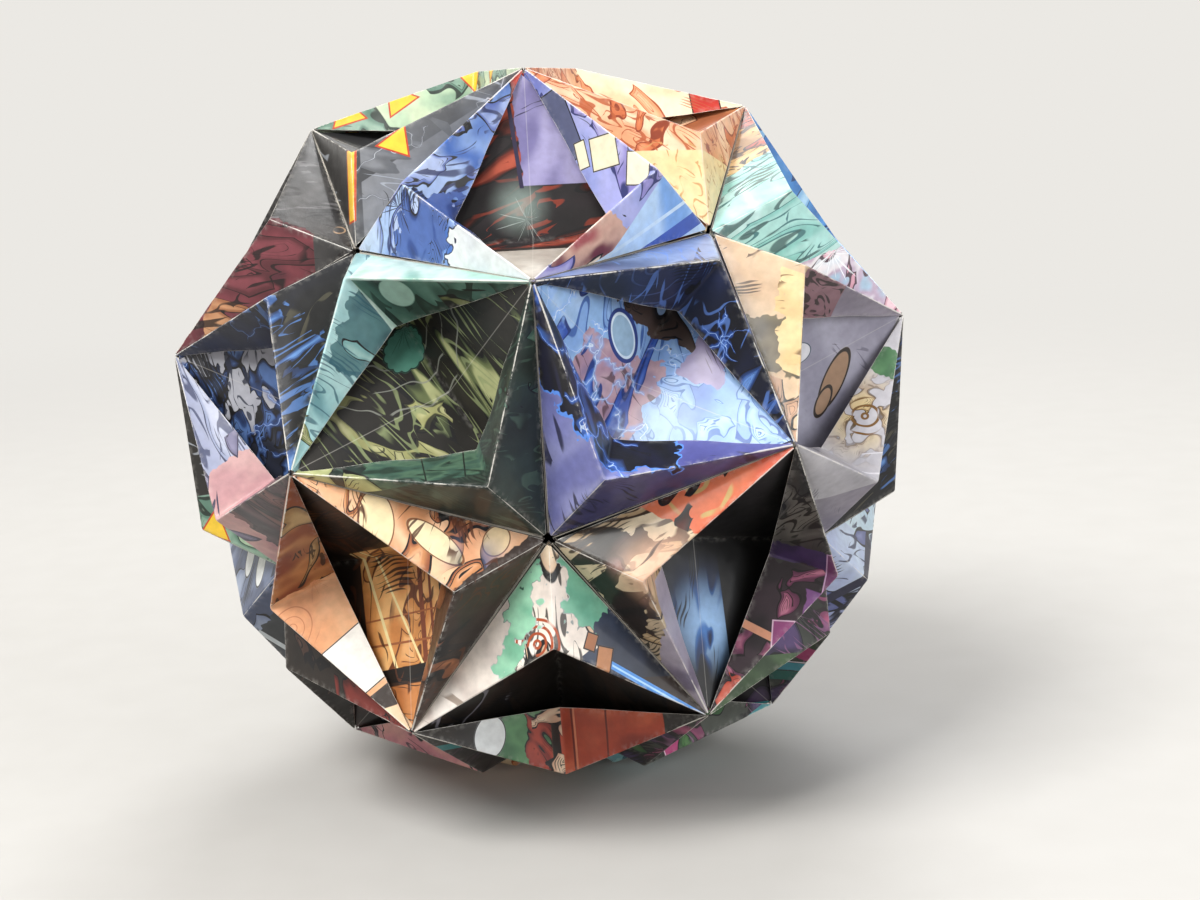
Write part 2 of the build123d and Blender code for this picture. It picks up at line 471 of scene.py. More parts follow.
def placed(tree, entry, turn=None):
    """The place in units of the pattern's size, turned, and moved to another part of the
    pattern by the seed, in strides that keep two seeds' parts apart."""
    place = entry["Place"] if turn is None else tree.turned(entry["Place"], turn)
    shift = tree.joined(*(tree.math("MULTIPLY", entry["Seed"], stride) for stride in (7.31, 3.17)))
    return tree.vector("ADD", tree.scaled(place, tree.math("DIVIDE", 1.0, entry["Size"])), shift)


def uneven(tree, width, place, scale):
    """A width that swells and thins with a noise, as a brush line does."""
    return tree.math("MULTIPLY", width, tree.math("MULTIPLY", tree.noise(place, scale), 2))


def crossed(tree, place, detail, distortion):
    """The lower of two noises, whose contours meet in the corners that drawn shapes have."""
    other = tree.vector("ADD", tree.turned(place, 1.1), (5.3, 2.9, 0))
    return tree.math("MINIMUM", tree.noise(place, 1, detail, distortion), tree.math(
        "ADD", tree.noise(other, 0.8), 0.03))


def brush_forms():
    """Leaf and flame shapes cut from crossed noises and drawn out along a turn, with a brush
    outline, a shade towards their middle and fold lines that follow the outline."""
    tree, entry = effect(
        "Brush forms",
        {"Place": None, "Size": 8, "Seed": 0, "Cover": 0.4, "Line": 0.02, "Turn": 0,
         "Stretch": 1, "Folds": 0.5},
        ["Fill", "Shade", "Line"])
    place = tree.drawn_out(placed(tree, entry, entry["Turn"]), entry["Stretch"])
    depth = tree.math(
        "SUBTRACT", crossed(tree, place, 1.5, 0.5), tree.level(entry["Cover"], 0.63))
    fill = tree.step(depth, -0.003, 0.003)
    shade = tree.step(depth, 0, 0.12)
    line = tree.below(tree.math("ABSOLUTE", depth), uneven(tree, entry["Line"], place, 1.7))
    ripple = tree.math("PINGPONG", tree.math("MULTIPLY", depth, 22), 0.5)
    width = uneven(tree, tree.math("MULTIPLY", entry["Folds"], 0.13), place, 1.3)
    folds = tree.below(ripple, width)
    folds = tree.math("MULTIPLY", folds, tree.step(tree.noise(place, 1.2), 0.5, 0.58))
    folds = tree.math("MULTIPLY", folds, tree.step(depth, 0.012, 0.03))
    return close_effect(tree, [fill, shade, tree.math("MAXIMUM", line, folds)])


def line_drawing():
    """Fine pen lines on the contours of a noise that is drawn out along a turn, each broken
    off, in patches."""
    tree, entry = effect(
        "Line drawing",
        {"Place": None, "Size": 6, "Seed": 0, "Turn": 0, "Stretch": 2, "Rows": 9, "Weight": 0.3,
         "Cover": 0.5},
        ["Line"])
    whole = placed(tree, entry, entry["Turn"])
    place = tree.drawn_out(whole, entry["Stretch"])
    field = crossed(tree, place, 1.2, 0.4)
    saw = tree.math("PINGPONG", tree.math("MULTIPLY", field, entry["Rows"]), 0.5)
    brush = tree.math("MULTIPLY", entry["Weight"], tree.step(tree.noise(place, 2.2), 0.36, 0.66))
    line = tree.step(saw, tree.math("MULTIPLY", brush, 0.5), tree.math("MULTIPLY", brush, 0.25))
    low = tree.level(entry["Cover"], 0.7)
    patch = tree.step(tree.noise(whole, 0.4), low, tree.math("ADD", low, 0.05))
    return close_effect(tree, [tree.math("MULTIPLY", line, patch)])


def pen_hatching():
    """Pen strokes side by side that thicken with a slow noise until they close to solid ink."""
    tree, entry = effect(
        "Pen hatching",
        {"Place": None, "Size": 1.2, "Seed": 0, "Turn": 0.6, "Weight": 0.5, "Reach": 12},
        ["Line"])
    place = placed(tree, entry, entry["Turn"])
    drawn = tree.vector("MULTIPLY", place, (1, 0.5, 1))
    broad = tree.noise(drawn, tree.math("DIVIDE", entry["Size"], entry["Reach"]), 1.5)
    low = tree.level(entry["Weight"], 0.72)
    width = tree.math("MULTIPLY", tree.step(broad, low, tree.math("ADD", low, 0.24)), 0.5)
    slim = tree.vector("MULTIPLY", place, (0.7, 0.035, 1))
    across = tree.math("ADD", tree.apart(place)[0], tree.math(
        "MULTIPLY", tree.noise(place, 0.09), 5))
    saw = tree.math("ADD", tree.math("PINGPONG", across, 0.5), tree.math(
        "MULTIPLY", tree.math("SUBTRACT", tree.noise(slim, 1), 0.5), 0.5))
    line = tree.step(saw, width, tree.math("SUBTRACT", width, 0.12))
    return close_effect(tree, [tree.math("MULTIPLY", line, tree.step(width, 0.02, 0.08))])


def bright_threads():
    """Kinked threads along the edges of warped cells, broken off at random, and their glow."""
    tree, entry = effect(
        "Bright threads", {"Place": None, "Size": 9, "Seed": 0, "Width": 0.02}, ["Line", "Glow"])
    place = placed(tree, entry)
    push = tree.vector("SUBTRACT", tree.noise(place, 1.8, 2.5, out="Color"), (0.5, 0.5, 0.5))
    place = tree.vector("ADD", place, tree.scaled(push, 0.9))
    edges = tree.add("TexVoronoi", {"Vector": place, "Scale": 1}, voronoi_dimensions="2D",
                     feature="DISTANCE_TO_EDGE").outputs["Distance"]
    gate = tree.step(tree.noise(place, 0.7), 0.46, 0.58)
    width = tree.math("MULTIPLY", uneven(tree, entry["Width"], place, 0.8), gate)
    line = tree.step(edges, width, 0)
    glow = tree.step(edges, tree.math("MULTIPLY", width, 8), 0)
    return close_effect(tree, [line, glow])


def from_centre(tree, entry):
    """The way from a group's centre to the place."""
    return tree.vector("SUBTRACT", entry["Place"], tree.joined(entry["Across"], entry["Up"]))


def ring_arcs():
    """Rings about a centre, a fixed step apart and broken into arcs."""
    tree, entry = effect(
        "Ring arcs",
        {"Place": None, "Across": 0, "Up": 0, "Seed": 0, "Step": 2, "Weight": 0.3, "Reach": 12},
        ["Line"])
    arm = from_centre(tree, entry)
    length = tree.vector("LENGTH", arm, out=1)
    shift = tree.joined(entry["Seed"], 0.0, entry["Seed"])
    wobble = tree.noise(tree.vector("ADD", arm, shift), 0.12)
    saw = tree.math("PINGPONG", tree.math("ADD", tree.math(
        "DIVIDE", length, entry["Step"]), wobble), 0.5)
    near = tree.step(length, entry["Reach"], tree.math("MULTIPLY", entry["Reach"], 0.9))
    gate = tree.step(wobble, 0.36, 0.44)
    line = tree.below(saw, tree.math("MULTIPLY", entry["Weight"], 0.5))
    return close_effect(tree, [tree.math("MULTIPLY", tree.math("MULTIPLY", line, near), gate)])


def ray_burst():
    """Tapered rays that run out from a centre, as a noise over their direction."""
    tree, entry = effect(
        "Ray burst",
        {"Place": None, "Across": 0, "Up": 0, "Seed": 0, "Count": 9, "Share": 0.5, "Reach": 14},
        ["Ray"])
    arm = from_centre(tree, entry)
    length = tree.vector("LENGTH", arm, out=1)
    heading = tree.scaled(tree.vector("NORMALIZE", arm), entry["Count"])
    field = tree.noise(tree.vector("ADD", heading, tree.joined(entry["Seed"])), 1, 2)
    taper = tree.math("MULTIPLY", tree.math("DIVIDE", length, entry["Reach"]), 0.3)
    level = tree.math("ADD", tree.level(entry["Share"], 0.75, 0.5), taper)
    return close_effect(tree, [tree.step(field, level, tree.math("ADD", level, 0.02))])


def bounded(name, round_shape):
    """A shape about a centre with a ruled border: an upright box, or an oval whose edge is
    scalloped by the absolute sine of the angle."""
    tree, entry = effect(
        name,
        {"Place": None, "Across": 0, "Up": 0, "Turn": 0, "Width": 8, "Height": 5, "Rule": 0.3,
         "Lobes": 0},
        ["Inside", "Rule"])
    arm = tree.turned(from_centre(tree, entry), entry["Turn"])
    x, y, _ = tree.apart(arm)
    if round_shape:
        across, up = tree.math("DIVIDE", x, entry["Width"]), tree.math("DIVIDE", y, entry["Height"])
        length = tree.vector("LENGTH", tree.joined(across, up), out=1)
        waves = tree.math("MULTIPLY", tree.math("ARCTAN2", up, across), entry["Lobes"])
        lobe = tree.math("ABSOLUTE", tree.math("SINE", waves))
        edge = tree.math("ADD", 0.46, tree.math("MULTIPLY", lobe, 0.04))
        off = tree.math("MULTIPLY", tree.math("SUBTRACT", length, edge), tree.math(
            "MINIMUM", entry["Width"], entry["Height"]))
    else:
        off = tree.math("MAXIMUM", *(
            tree.math("SUBTRACT", tree.math("ABSOLUTE", value), tree.math("DIVIDE", size, 2))
            for value, size in ((x, entry["Width"]), (y, entry["Height"]))))
    inside, inner = tree.inside(off), tree.inside(tree.math("ADD", off, entry["Rule"]))
    return close_effect(tree, [inside, tree.math("SUBTRACT", inside, inner)])


def wear_and_gap_shade():
    """Where the print has cracked off along the folds, where it is rubbed pale, the painted shade
    in the gap below the ridges, and the height of the paper: fibre, fingertip dents and the line of
    the fold."""
    tree, entry = effect(
        "Wear and gap shade", {"Place": None, "Fold": 5, "Wear": 1},
        ["Bare", "Rubbed", "Gap shade", "Height"])
    fine = tree.noise(entry["Place"], 1.7, 2)
    broad = tree.noise(entry["Place"], 0.18, 2)
    width = tree.math("MULTIPLY", entry["Wear"], tree.math("ADD", 0.04, tree.math(
        "MULTIPLY", tree.step(broad, 0.35, 0.7), 0.13)))
    ragged = tree.math("ADD", entry["Fold"], tree.math(
        "MULTIPLY", tree.math("SUBTRACT", fine, 0.42), 0.12))
    bare = tree.math("MULTIPLY", tree.step(ragged, width, tree.math("MULTIPLY", width, 0.5)),
                     tree.step(entry["Fold"], -0.4, -0.1))
    rubbed = tree.math("MULTIPLY", tree.step(entry["Fold"], 1.6, 0.1), tree.step(
        tree.noise(entry["Place"], 0.7, 2), 0.4, 0.75))
    # Painted shade: 1 on the fold wall down in the gap below a ridge, whose fold value is below
    # zero.
    gap_shade = tree.step(entry["Fold"], -0.3, -0.7)
    dents = tree.noise(entry["Place"], 0.1, 2)
    height = tree.math("ADD", dents, tree.math("MULTIPLY", fine, 0.03))
    height = tree.math("ADD", height, tree.math("MULTIPLY", tree.step(
        entry["Fold"], 0.6, 0), 0.1))
    return close_effect(tree, [bare, rubbed, gap_shade, height])


# Prints


class Print:
    """One printed paper. Each method lays colour over what is there; a layer may be kept to a
    zone. Colours are web colours, lengths are millimetres on the flat sheet, with the lip of
    both flaps at the origin, one hub at +X and one tip at +Y."""

    effects = {}

    def __init__(self, name, seed, turn, colours):
        self.material = bpy.data.materials.new(name)
        self.material.use_nodes = True
        self.material.node_tree.nodes.clear()
        self.tree = Tree(self.material.node_tree)
        self.seed = seed
        self.ink = (*colours.ink, 1)
        self.bare = (*colours.bare, 1)
        flat = self.tree.add("Attribute", attribute_name="flat").outputs["Vector"]
        self.own_place = flat
        self.place = self.tree.turned(flat, turn) if turn else flat
        self.count = 0
        self.zones = {}
        self.colour = self.bare

    def effect(self, name, **values):
        """A placed effect group. Layers of one print take seeds in a row."""
        self.count += 1
        group = self.tree.add("Group", node_tree=self.effects[name])
        self.tree.put(group.inputs["Place"], self.place)
        if "Seed" in group.inputs:
            group.inputs["Seed"].default_value = self.seed + 2.7 * self.count
        for label, value in values.items():
            if label == "Turn":
                value = radians(value)
            self.tree.put(group.inputs[label], value)
        return group.outputs

    def lay(self, mask, colour, zone=None, strength=1.0):
        """Colour over the mask, within the zone."""
        if zone is not None:
            mask = self.tree.math("MULTIPLY", mask, self.zone(zone))
        if strength != 1.0:
            mask = self.tree.math("MULTIPLY", mask, strength)
        above = linear(colour) if isinstance(colour, str) else colour
        self.colour = self.tree.mix(mask, self.colour, above)

    def ramp(self, value, codes, low=0.0, high=1.0):
        """The colours in a row, spread over the value from low to high."""
        node = self.tree.add("ValToRGB", {0: value})
        ramp = node.color_ramp
        ramp.interpolation = "EASE"
        codes = codes.split()
        while len(ramp.elements) < len(codes):
            ramp.elements.new(0.5)
        for at, code in enumerate(codes):
            ramp.elements[at].position = low + (high - low) * at / max(len(codes) - 1, 1)
            ramp.elements[at].color = linear(code)
        return node.outputs[0]

    def across(self, turn, place=None):
        """How far a place lies along a direction, from the origin unless a place is given."""
        way = (cos(radians(turn)), sin(radians(turn)), 0)
        place = self.place if place is None else place
        return self.tree.vector("DOT_PRODUCT", place, way, out=1)

    def beyond(self, turn, start, ragged=0):
        """1 beyond a line that crosses the turn's direction start mm from the origin. A ragged
        line is pushed to and fro by a noise, by about as many mm."""
        across = self.across(turn)
        if ragged:
            spot = self.tree.vector("ADD", self.place, (0.37 * turn, 3 * self.seed, 0))
            push = self.tree.math("SUBTRACT", self.tree.noise(spot, 0.26, 2), 0.5)
            across = self.tree.math("ADD", across, self.tree.math("MULTIPLY", push, 4 * ragged))
        return self.tree.step(across, start - LINE_EDGE, start + LINE_EDGE)

    def zone(self, where):
        """The mask of a zone, built once: what lies beyond a line for a tuple, where all of its
        zones are for a list, and a mask as it is."""
        key = str(where)
        if isinstance(where, tuple) and key not in self.zones:
            self.zones[key] = self.beyond(*where)
        if isinstance(where, list) and key not in self.zones:
            mask = self.zone(where[0])
            for part in where[1:]:
                mask = self.tree.math("MULTIPLY", mask, self.zone(part))
            self.zones[key] = mask
        return self.zones.get(key, where)

    def near(self, at, reach):
        """1 at a place, 0 from the reach on."""
        arm = self.tree.vector("SUBTRACT", self.place, (*at, 0))
        return self.tree.step(self.tree.vector("LENGTH", arm, out=1), reach, 0)

    def wash(self, codes, size=18, turn=0, stretch=1, zone=None):
        """Soft painted colour: a slow noise, drawn out along the turn, through the colours."""
        place = self.tree.turned(self.place, radians(turn))
        self.count += 1
        shift = self.seed * 11.3 + self.count * 31.7  # another part of the noise for each layer
        place = self.tree.vector("MULTIPLY", place, (1, 1 / stretch, 1))
        place = self.tree.vector("ADD", place, (shift, shift * 0.6, 0))
        field = self.tree.noise(place, 1 / size, 2)
        self.lay(1.0 if zone is None else self.zone(zone), self.ramp(field, codes, 0.3, 0.7))

    def forms(self, codes, size=10, cover=0.4, line=0.012, turn=0, stretch=1, folds=0.5,
              zone=None, ink=None):
        """Brush shapes, shaded from the first colour at the edge to the last in the middle."""
        fill, depth, rule = self.effect(
            "Brush forms", Size=size, Cover=cover, Line=1.5 * line, Turn=turn, Stretch=stretch,
            Folds=folds)[:3]
        self.lay(fill, self.ramp(depth, codes), zone)
        if line:
            self.lay(rule, ink or self.ink, zone)

    def lines(self, size=6, turn=0, stretch=2, rows=9, weight=0.3, cover=0.5, zone=None,
              colour=None, strength=0.9):
        """Fine pen lines."""
        line = self.effect("Line drawing", Size=size, Turn=turn, Stretch=stretch, Rows=rows,
                           Weight=1.25 * weight, Cover=cover)[0]
        self.lay(line, colour or self.ink, zone, strength)

    def hatch(self, size=1.2, turn=35, weight=0.5, reach=12, zone=None, colour=None,
              strength=0.9):
        """Pen strokes that close to solid."""
        line = self.effect("Pen hatching", Size=size, Turn=turn, Weight=weight, Reach=reach)[0]
        self.lay(line, colour or self.ink, zone, strength)

    def rays(self, colour, at, count=9, share=0.5, reach=14, zone=None, strength=0.9):
        """Tapered rays out of a centre."""
        ray = self.effect(
            "Ray burst", Across=at[0], Up=at[1], Count=count, Share=share, Reach=reach)[0]
        self.lay(ray, colour, zone, strength)

    def arcs(self, colour, at, step=2, weight=0.3, reach=12, zone=None, strength=1.0):
        """Rings about a centre, broken into arcs."""
        line = self.effect(
            "Ring arcs", Across=at[0], Up=at[1], Step=step, Weight=weight, Reach=reach)[0]
        self.lay(line, colour, zone, strength)

    def threads(self, colour, glow, size=12, width=0.02, zone=None):
        """Bright threads in their glow."""
        line, halo = self.effect("Bright threads", Size=size, Width=width)[:2]
        self.lay(halo, glow, zone, 0.7)
        self.lay(line, colour, zone)

    def glow(self, colour, at, reach, zone=None, strength=0.9):
        """A soft round light."""
        self.lay(self.near(at, reach), colour, zone, strength)

    def band(self, colour, turn, start, width, zone=None):
        """A straight band that crosses the turn's direction."""
        off = self.tree.math("SUBTRACT", self.tree.math(
            "ABSOLUTE", self.tree.math("SUBTRACT", self.across(turn), start)), width / 2)
        self.lay(self.tree.inside(off), colour, zone)

    def bordered(self, name, colour, at, size, turn, rule, edge, zone, **more):
        """A bounded shape with a line round it and nothing in it. Returns its mask."""
        inside, border = self.effect(
            name, Across=at[0], Up=at[1], Width=size[0], Height=size[1], Turn=turn, Rule=rule,
            **more)[:2]
        self.lay(inside, colour, zone)
        if rule:
            self.lay(border, edge or self.ink, zone)
        return inside

    def box(self, colour, at, size, turn=0, rule=0.25, edge=None, zone=None):
        """An empty box."""
        return self.bordered("Ruled box", colour, at, size, turn, rule, edge, zone)

    def oval(self, colour, at, size, turn=0, rule=0.25, lobes=0, edge=None, zone=None):
        """An empty oval, scalloped if it has lobes."""
        return self.bordered(
            "Scalloped oval", colour, at, size, turn, rule, edge, zone, Lobes=lobes)

    def wedge(self, colour, at, reach, turn, edge, zone=None):
        """A ruled three-sided field: the farthest of three directions 120 degrees apart."""
        arm = self.tree.vector("SUBTRACT", self.place, (*at, 0))
        one, two, three = (self.across(turn + 120 * side, arm) for side in range(3))
        off = self.tree.math("MAXIMUM", self.tree.math("MAXIMUM", one, two), three)
        for field, size in ((edge, reach), (colour, reach - 0.4)):
            self.lay(self.tree.inside(off, size), field, zone)

    def finish(self, wear, crease):
        """The worn folds, the painted shade in the gaps below the ridges, the grain of the print,
        ink that is not fully black and the coated paper's gloss. A recess also has the crease down
        the middle of its sheet."""
        tree = self.tree
        fold = tree.add("Attribute", attribute_name="fold").outputs["Fac"]
        if crease:
            across = tree.math("ABSOLUTE", tree.apart(self.own_place)[0])
            self.lay(tree.step(across, 0.16, 0.04), self.bare, tree.step(fold, 0.2, 0.5), 0.18)
        worn = tree.add("Group", {"Place": self.own_place, "Fold": fold, "Wear": wear},
                        node_tree=self.effects["Wear and gap shade"])
        bare, rubbed, gap_shade, height = worn.outputs[:4]
        veil, rubbing, cracking = 0.014, 0.12, 0.7  # how much bare paper shows through
        mottle = tree.math("ADD", 0.85, tree.math(
            "MULTIPLY", tree.noise(self.own_place, 0.5, 3), 0.36))
        colour = tree.mix(veil, tree.scaled(self.colour, mottle), self.bare)
        colour = tree.mix(tree.math("MULTIPLY", rubbed, rubbing), colour, self.bare)
        colour = tree.mix(tree.math("MULTIPLY", bare, cracking), colour, self.bare)
        # Painted shade: the gap below the ridges takes the ink colour.
        colour = tree.mix(gap_shade, colour, self.ink)
        rough = tree.math("ADD", tree.math("MULTIPLY", bare, 0.35), tree.math(
            "ADD", 0.26, tree.math("MULTIPLY", tree.noise(self.own_place, 0.3, 2), 0.2)))
        bump = tree.add("Bump", {"Height": height, "Strength": 0.4, "Distance": 0.0008})
        skin = tree.add("BsdfPrincipled", {
            "Base Color": colour, "Roughness": rough, "Normal": bump.outputs[0],
            "Specular IOR Level": 0.25, "Coat Weight": 0.16, "Coat Roughness": 0.12})
        tree.add("OutputMaterial", {0: skin.outputs[0]})
        return self.material


# Looks: each lays one print from its ground up. After the colours come sizes in mm, turns in
# degrees and shares from 0 to 1, in the order that Print's methods name them.
RIGHT, LEFT = (0, 0), (180, 0)  # the flaps at the hubs on +X and -X
LOOKS = {}


def look(recipe):
    """Keeps a recipe in LOOKS under its own name."""
    LOOKS[recipe.__name__] = recipe
    return recipe


@look
def periwinkle_flaps(p):
    p.wash("2f5aa8 5f82c6 86a6dc 3f6ab8 a8c0e8", 22, 35, 2)
    p.wash("6f78bb 969fd6 acafe0 7f88c6", 20, 60, 1.5, LEFT)
    p.forms("5a6fb4 9db0e0 b8c8ec", 8, 0.46, 0.01, 50, 1.8, 0.8, RIGHT)
    p.lines(6, 50, 3.0, 7, 0.34, 0.68, RIGHT, "232c5c")
    deep = [RIGHT, (115, -5, 2), (295, -10, 2)]
    p.forms("1c2c5a 2f4a8c 4a66a8", 8, 1.0, 0.012, 60, 1.6, 0.8, deep)
    p.hatch(1.0, 40, 0.6, 9, deep, "121a36")
    p.rays("1f2238", (20, 3), 8, 0.5, 9, RIGHT)
    p.glow("bccfe4", (34, 0), 8, RIGHT)
    p.wash("1f2440", zone=[RIGHT, (118, 9.6, 2)])
    p.wash("d2d6dc dfe2e4", 9, zone=[RIGHT, (118, 10.1, 2)])
    p.wash("9c4a50 c8a090 6a2c3c", 8, 30, 2, [LEFT, (100, 17, 1)])
    p.forms("e4d4c0 f0e6d4", 7, 0.4, 0.012, 30, 2, 0.9, [LEFT, (100, 16, 1)])
    p.forms("8f88c4 b6b2dc", 9, 0.3, 0.01, 20, 2, 0.7, LEFT, "34386e")
    p.box("555a78", (-1.5, -22), (6, 16), 10, 0.3, zone=LEFT)
    p.hatch(0.9, -20, 0.7, 9, [LEFT, (-90, 14)], "2c2e46")
    p.box("efe5c4", (-7, -11), (7, 7), 24, zone=LEFT)
    p.box("f3ead0", (-12, -3), (6, 7), 38, zone=LEFT)
    p.box("f0e6c8", (-2, -14), (3, 6), 18, zone=LEFT)
    p.wash("94bce8 b8d4f2 7aa6e0", 16, 150, 3, [LEFT, (172, 18), (110, 2)])
    p.band("c8def4", 150, 24, 0.8, LEFT)
    p.band("3f5cb0", 150, 29, 3.4, LEFT)
    p.forms("8a2a20 d0432c", 6, 0.34, 0.01, 0, 1.5, 0.5, [RIGHT, (-90, 27)])


@look
def periwinkle_recess(p):
    p.wash("0c0b10 1a1618 241c20 0e0c12", 22)
    p.forms("240c0a 74281a b8543c", 8, 0.5, 0.008, 62, 3.5, 0.9)
    p.lines(6, 70, 3.5, 5, 0.42, 0.75, None, "8a3422", 0.85)
    p.glow("a4b8ae", (2.5, -8), 8, None, 0.6)
    p.rays("ccd8d2", (1, -5), 11, 0.34, 12, None, 0.45)
    stripe = [(-90, 12.5), (184, -0.5, 0.6)]
    p.wash("8a84b4 a6a0c8 746e9c", 14, 20, 2, stripe)
    p.band("2a2440", 186, -0.5, 0.9, (-90, 12))
    p.hatch(1.0, 60, 0.35, 9, stripe, "2a2440")
    p.wash("cfc8bd b5ab9f ddd6ca", 12, 0, 2, (90, 9))
    p.band("241410", 90, 7.8, 2.6)


@look
def green_flaps(p):
    top, foot = [RIGHT, (-90, 1)], [RIGHT, (82, 1)]
    p.wash("9cc8bc b8dcd0 d0e6de 8fbcae", 14, 100, 3, RIGHT)
    p.rays("dcece6", (36, -8), 6, 0.34, 20, RIGHT, 0.5)
    inner = [top, (157.5, -14)]
    p.wash("2c463e 456a5f 5d8577 35544a", 13, 100, 2, inner)
    p.forms("1f332d 3a5a4f", 12, 0.34, 0.0, 100, 2, 0.4, inner)
    p.lines(6, 95, 4.3, 6, 0.3, 0.59, inner, "1d332d", 0.8)
    p.oval("a3c7b9", (8, -8), (9, 8), 10, 0.15, edge="6f9a8a", zone=inner)
    p.forms("6a7048 a3a678", 8, 0.24, 0.012, 20, 3, 1.0, [inner, (-90, 16)])
    p.wash("6f9fa6 9cc8ca b4dada 84b0b6", 13, 100, 3, foot)
    deep = [foot, (195, -12, 1.5), (-90, -15, 2)]
    p.wash("3f6068 5a8488 486f78", 9, 60, 1.5, deep)
    p.forms("7fb0b0 a4ccc8", 9, 0.3, 0.008, 70, 3, 0.8, deep)
    p.lines(6, 80, 5, 6, 0.3, 0.68, foot, "2f6070", 0.8)
    p.hatch(0.9, 80, 0.34, 12, foot, "2f6070", 0.8)
    p.forms("7f8b54 b4b684", 7, 0.44, 0.01, 80, 2, 0.8, [RIGHT, (90, 25, 1)])
    p.wash("121917 1c2724 263430 161e1c", 22, 20, 1, LEFT)
    p.hatch(1.0, 55, 0.5, 12, LEFT, "34453b", 0.7)
    p.lines(6, 60, 4.3, 6, 0.3, 0.68, LEFT, "42594d", 0.6)
    panel = [LEFT, (0, -10.5), (90, -2), (-90, -24, 1)]
    p.wash("2c463a 4a6854 38564a 24382f", 9, 90, 0.4, panel)
    p.band("0f1613", 90, 11.6, 0.3, panel)
    p.band("0f1613", 86, 3, 0.3, panel)
    p.lines(5, 20, 3, 5, 0.34, 0.6, panel, "16241f")
    p.forms("9aa070 c6c88e", 8, 0.6, 0.012, 90, 2, 0.8, [LEFT, (0, -10.5), (90, 22, 1)])
    p.forms("3c5a4e 5c7a6a", 6, 0.24, 0.01, 70, 2, 0.6, [LEFT, (-80, 13)])


@look
def green_recess(p):
    p.wash("11100f 191715 201d1a 141210", 24)
    p.forms("2f3626 626c46 a8ac7c", 7, 0.34, 0.01, 84, 5, 1.2)
    p.forms("a4a46c d2d09c", 7, 0.34, 0.012, 62, 2.2, 1.4, [(90, 3, 1), p.near((-3, 12), 26)])
    p.lines(7, 80, 6.6, 9, 0.34, 0.86, None, "8a966a", 0.7)
    p.arcs("8a8c84", (22, 4), 5, 0.09, 26, None, 0.7)
    fan = p.oval("4a8272", (13, 3), (13, 9), 60, 0.3, 7, edge="16302a")
    p.rays("1d3a33", (17, 1), 14, 0.4, 10, fan, 0.8)
    p.rays("7fb09c", (18, 0), 11, 0.3, 9, fan, 0.5)
    p.hatch(1.1, 80, 0.42, 10)


@look
def navy_flaps(p):
    p.wash("6468a2 7b7fb8 888cbe 7074ae", 26, 20, 1, RIGHT)
    # Painted shade: the outer panel towards +Y, the one that faces down on the front sheet, is a
    # darker copy of the lavender.
    p.wash("3a3a64 474879 33335a", 20, 80, 2, [RIGHT, (22.5, 14.6), (90, 0)])
    p.wash("4c4e90 6468ac", 16, 80, 2, [RIGHT, (202.5, -14.6), (90, 12)])
    rim = [RIGHT, (184, -12.6, 2.2), (-88, -14.6, 2)]
    p.wash("2f5cb8 5f94ee 3f74d4", 10, 40, 2, rim)
    dark = [RIGHT, (184, -11.9, 2.2), (-88, -14, 2)]
    p.wash("08080e 11132a 0b0b14", 12, 40, 2, dark)
    p.forms("1a2244 33508c", 9, 0.3, 0.01, 30, 2, 0.5, dark)
    p.threads("c4dcfa", "3f74dc", 12, 0.02, [RIGHT, (175, -14), (-95, -6)])
    p.lines(7, 30, 4, 4, 0.36, 0.5, RIGHT, "1c1d3a")
    p.hatch(0.9, 15, 0.3, 8, RIGHT, "17182a")
    p.wash("090a12 10152a 1a2242 0c0f20", 22, 60, 2, LEFT)
    p.arcs("33436c", (-10, -14), 3.2, 0.16, 14, LEFT)
    p.wash("4d5f8c 7488b4 3b4a72", 16, 10, 3, [LEFT, (202.5, 15), (-90, -6, 1)])
    p.forms("16284e 2f4f8c 5f88c8", 8, 0.22, 0.008, 75, 3.5, 0.6, [LEFT, (80, -8)])
    p.threads("a8c8f4", "2f5cb4", 11, 0.018, [LEFT, (80, 2)])
    p.lines(6, 75, 4.3, 7, 0.28, 0.68, LEFT, "5f86d0", 0.6)
    p.hatch(1.0, -30, 0.45, 11, LEFT)


@look
def navy_recess(p):
    p.wash("6888c8 88aede a8c6ea 94bae6", 18, 30, 1.5)
    p.forms("84aae0 a4c6ec", 9, 0.36, 0.008, 60, 2.2, 1.0, ink="4468ac")
    p.forms("94b8e4 b0cef0", 7, 0.34, 0.008, 20, 1.2, 1.2, (80, 4), "4c74b4")
    p.glow("c4dcf2", (6, 12), 12, None, 0.4)
    rose = [(10, -5, 1.5), (-90, -6, 2), (90, -19, 1)]
    p.wash("9c8498 c0a0aa b08c9c 8a7898", 14, 0, 1, rose)
    p.lines(6, 20, 3, 4, 0.3, 0.7, rose, "4a2c36", 0.8)
    p.forms("2c50ac 5c86d8 a8c6ee", 9, 0.24, 0.008, 80, 3, 1.0, (-90, -4), "1c3478")
    p.threads("e4f0fc", "8fb8f4", 9, 0.02, (-80, -12))
    p.wash("8f86b0 b0a4c4", 9, 60, 2, [(180, 5, 1), (90, 9, 1), (-90, -18, 1)])
    p.oval("2c3f84", (-6, -9), (9, 14), 24, 0.0)
    p.oval("9dbcd4", (-6, -9), (7, 12), 24, 0.4, edge="dcecf8")
    p.forms("2c211f 4c3c36", 9, 0.8, 0.01, 40, 2, 1.0, [(180, 11, 1.5), (-90, -9, 1.5)])
    p.hatch(0.9, 40, 0.3, 12, (180, 8), "2a1d1a")


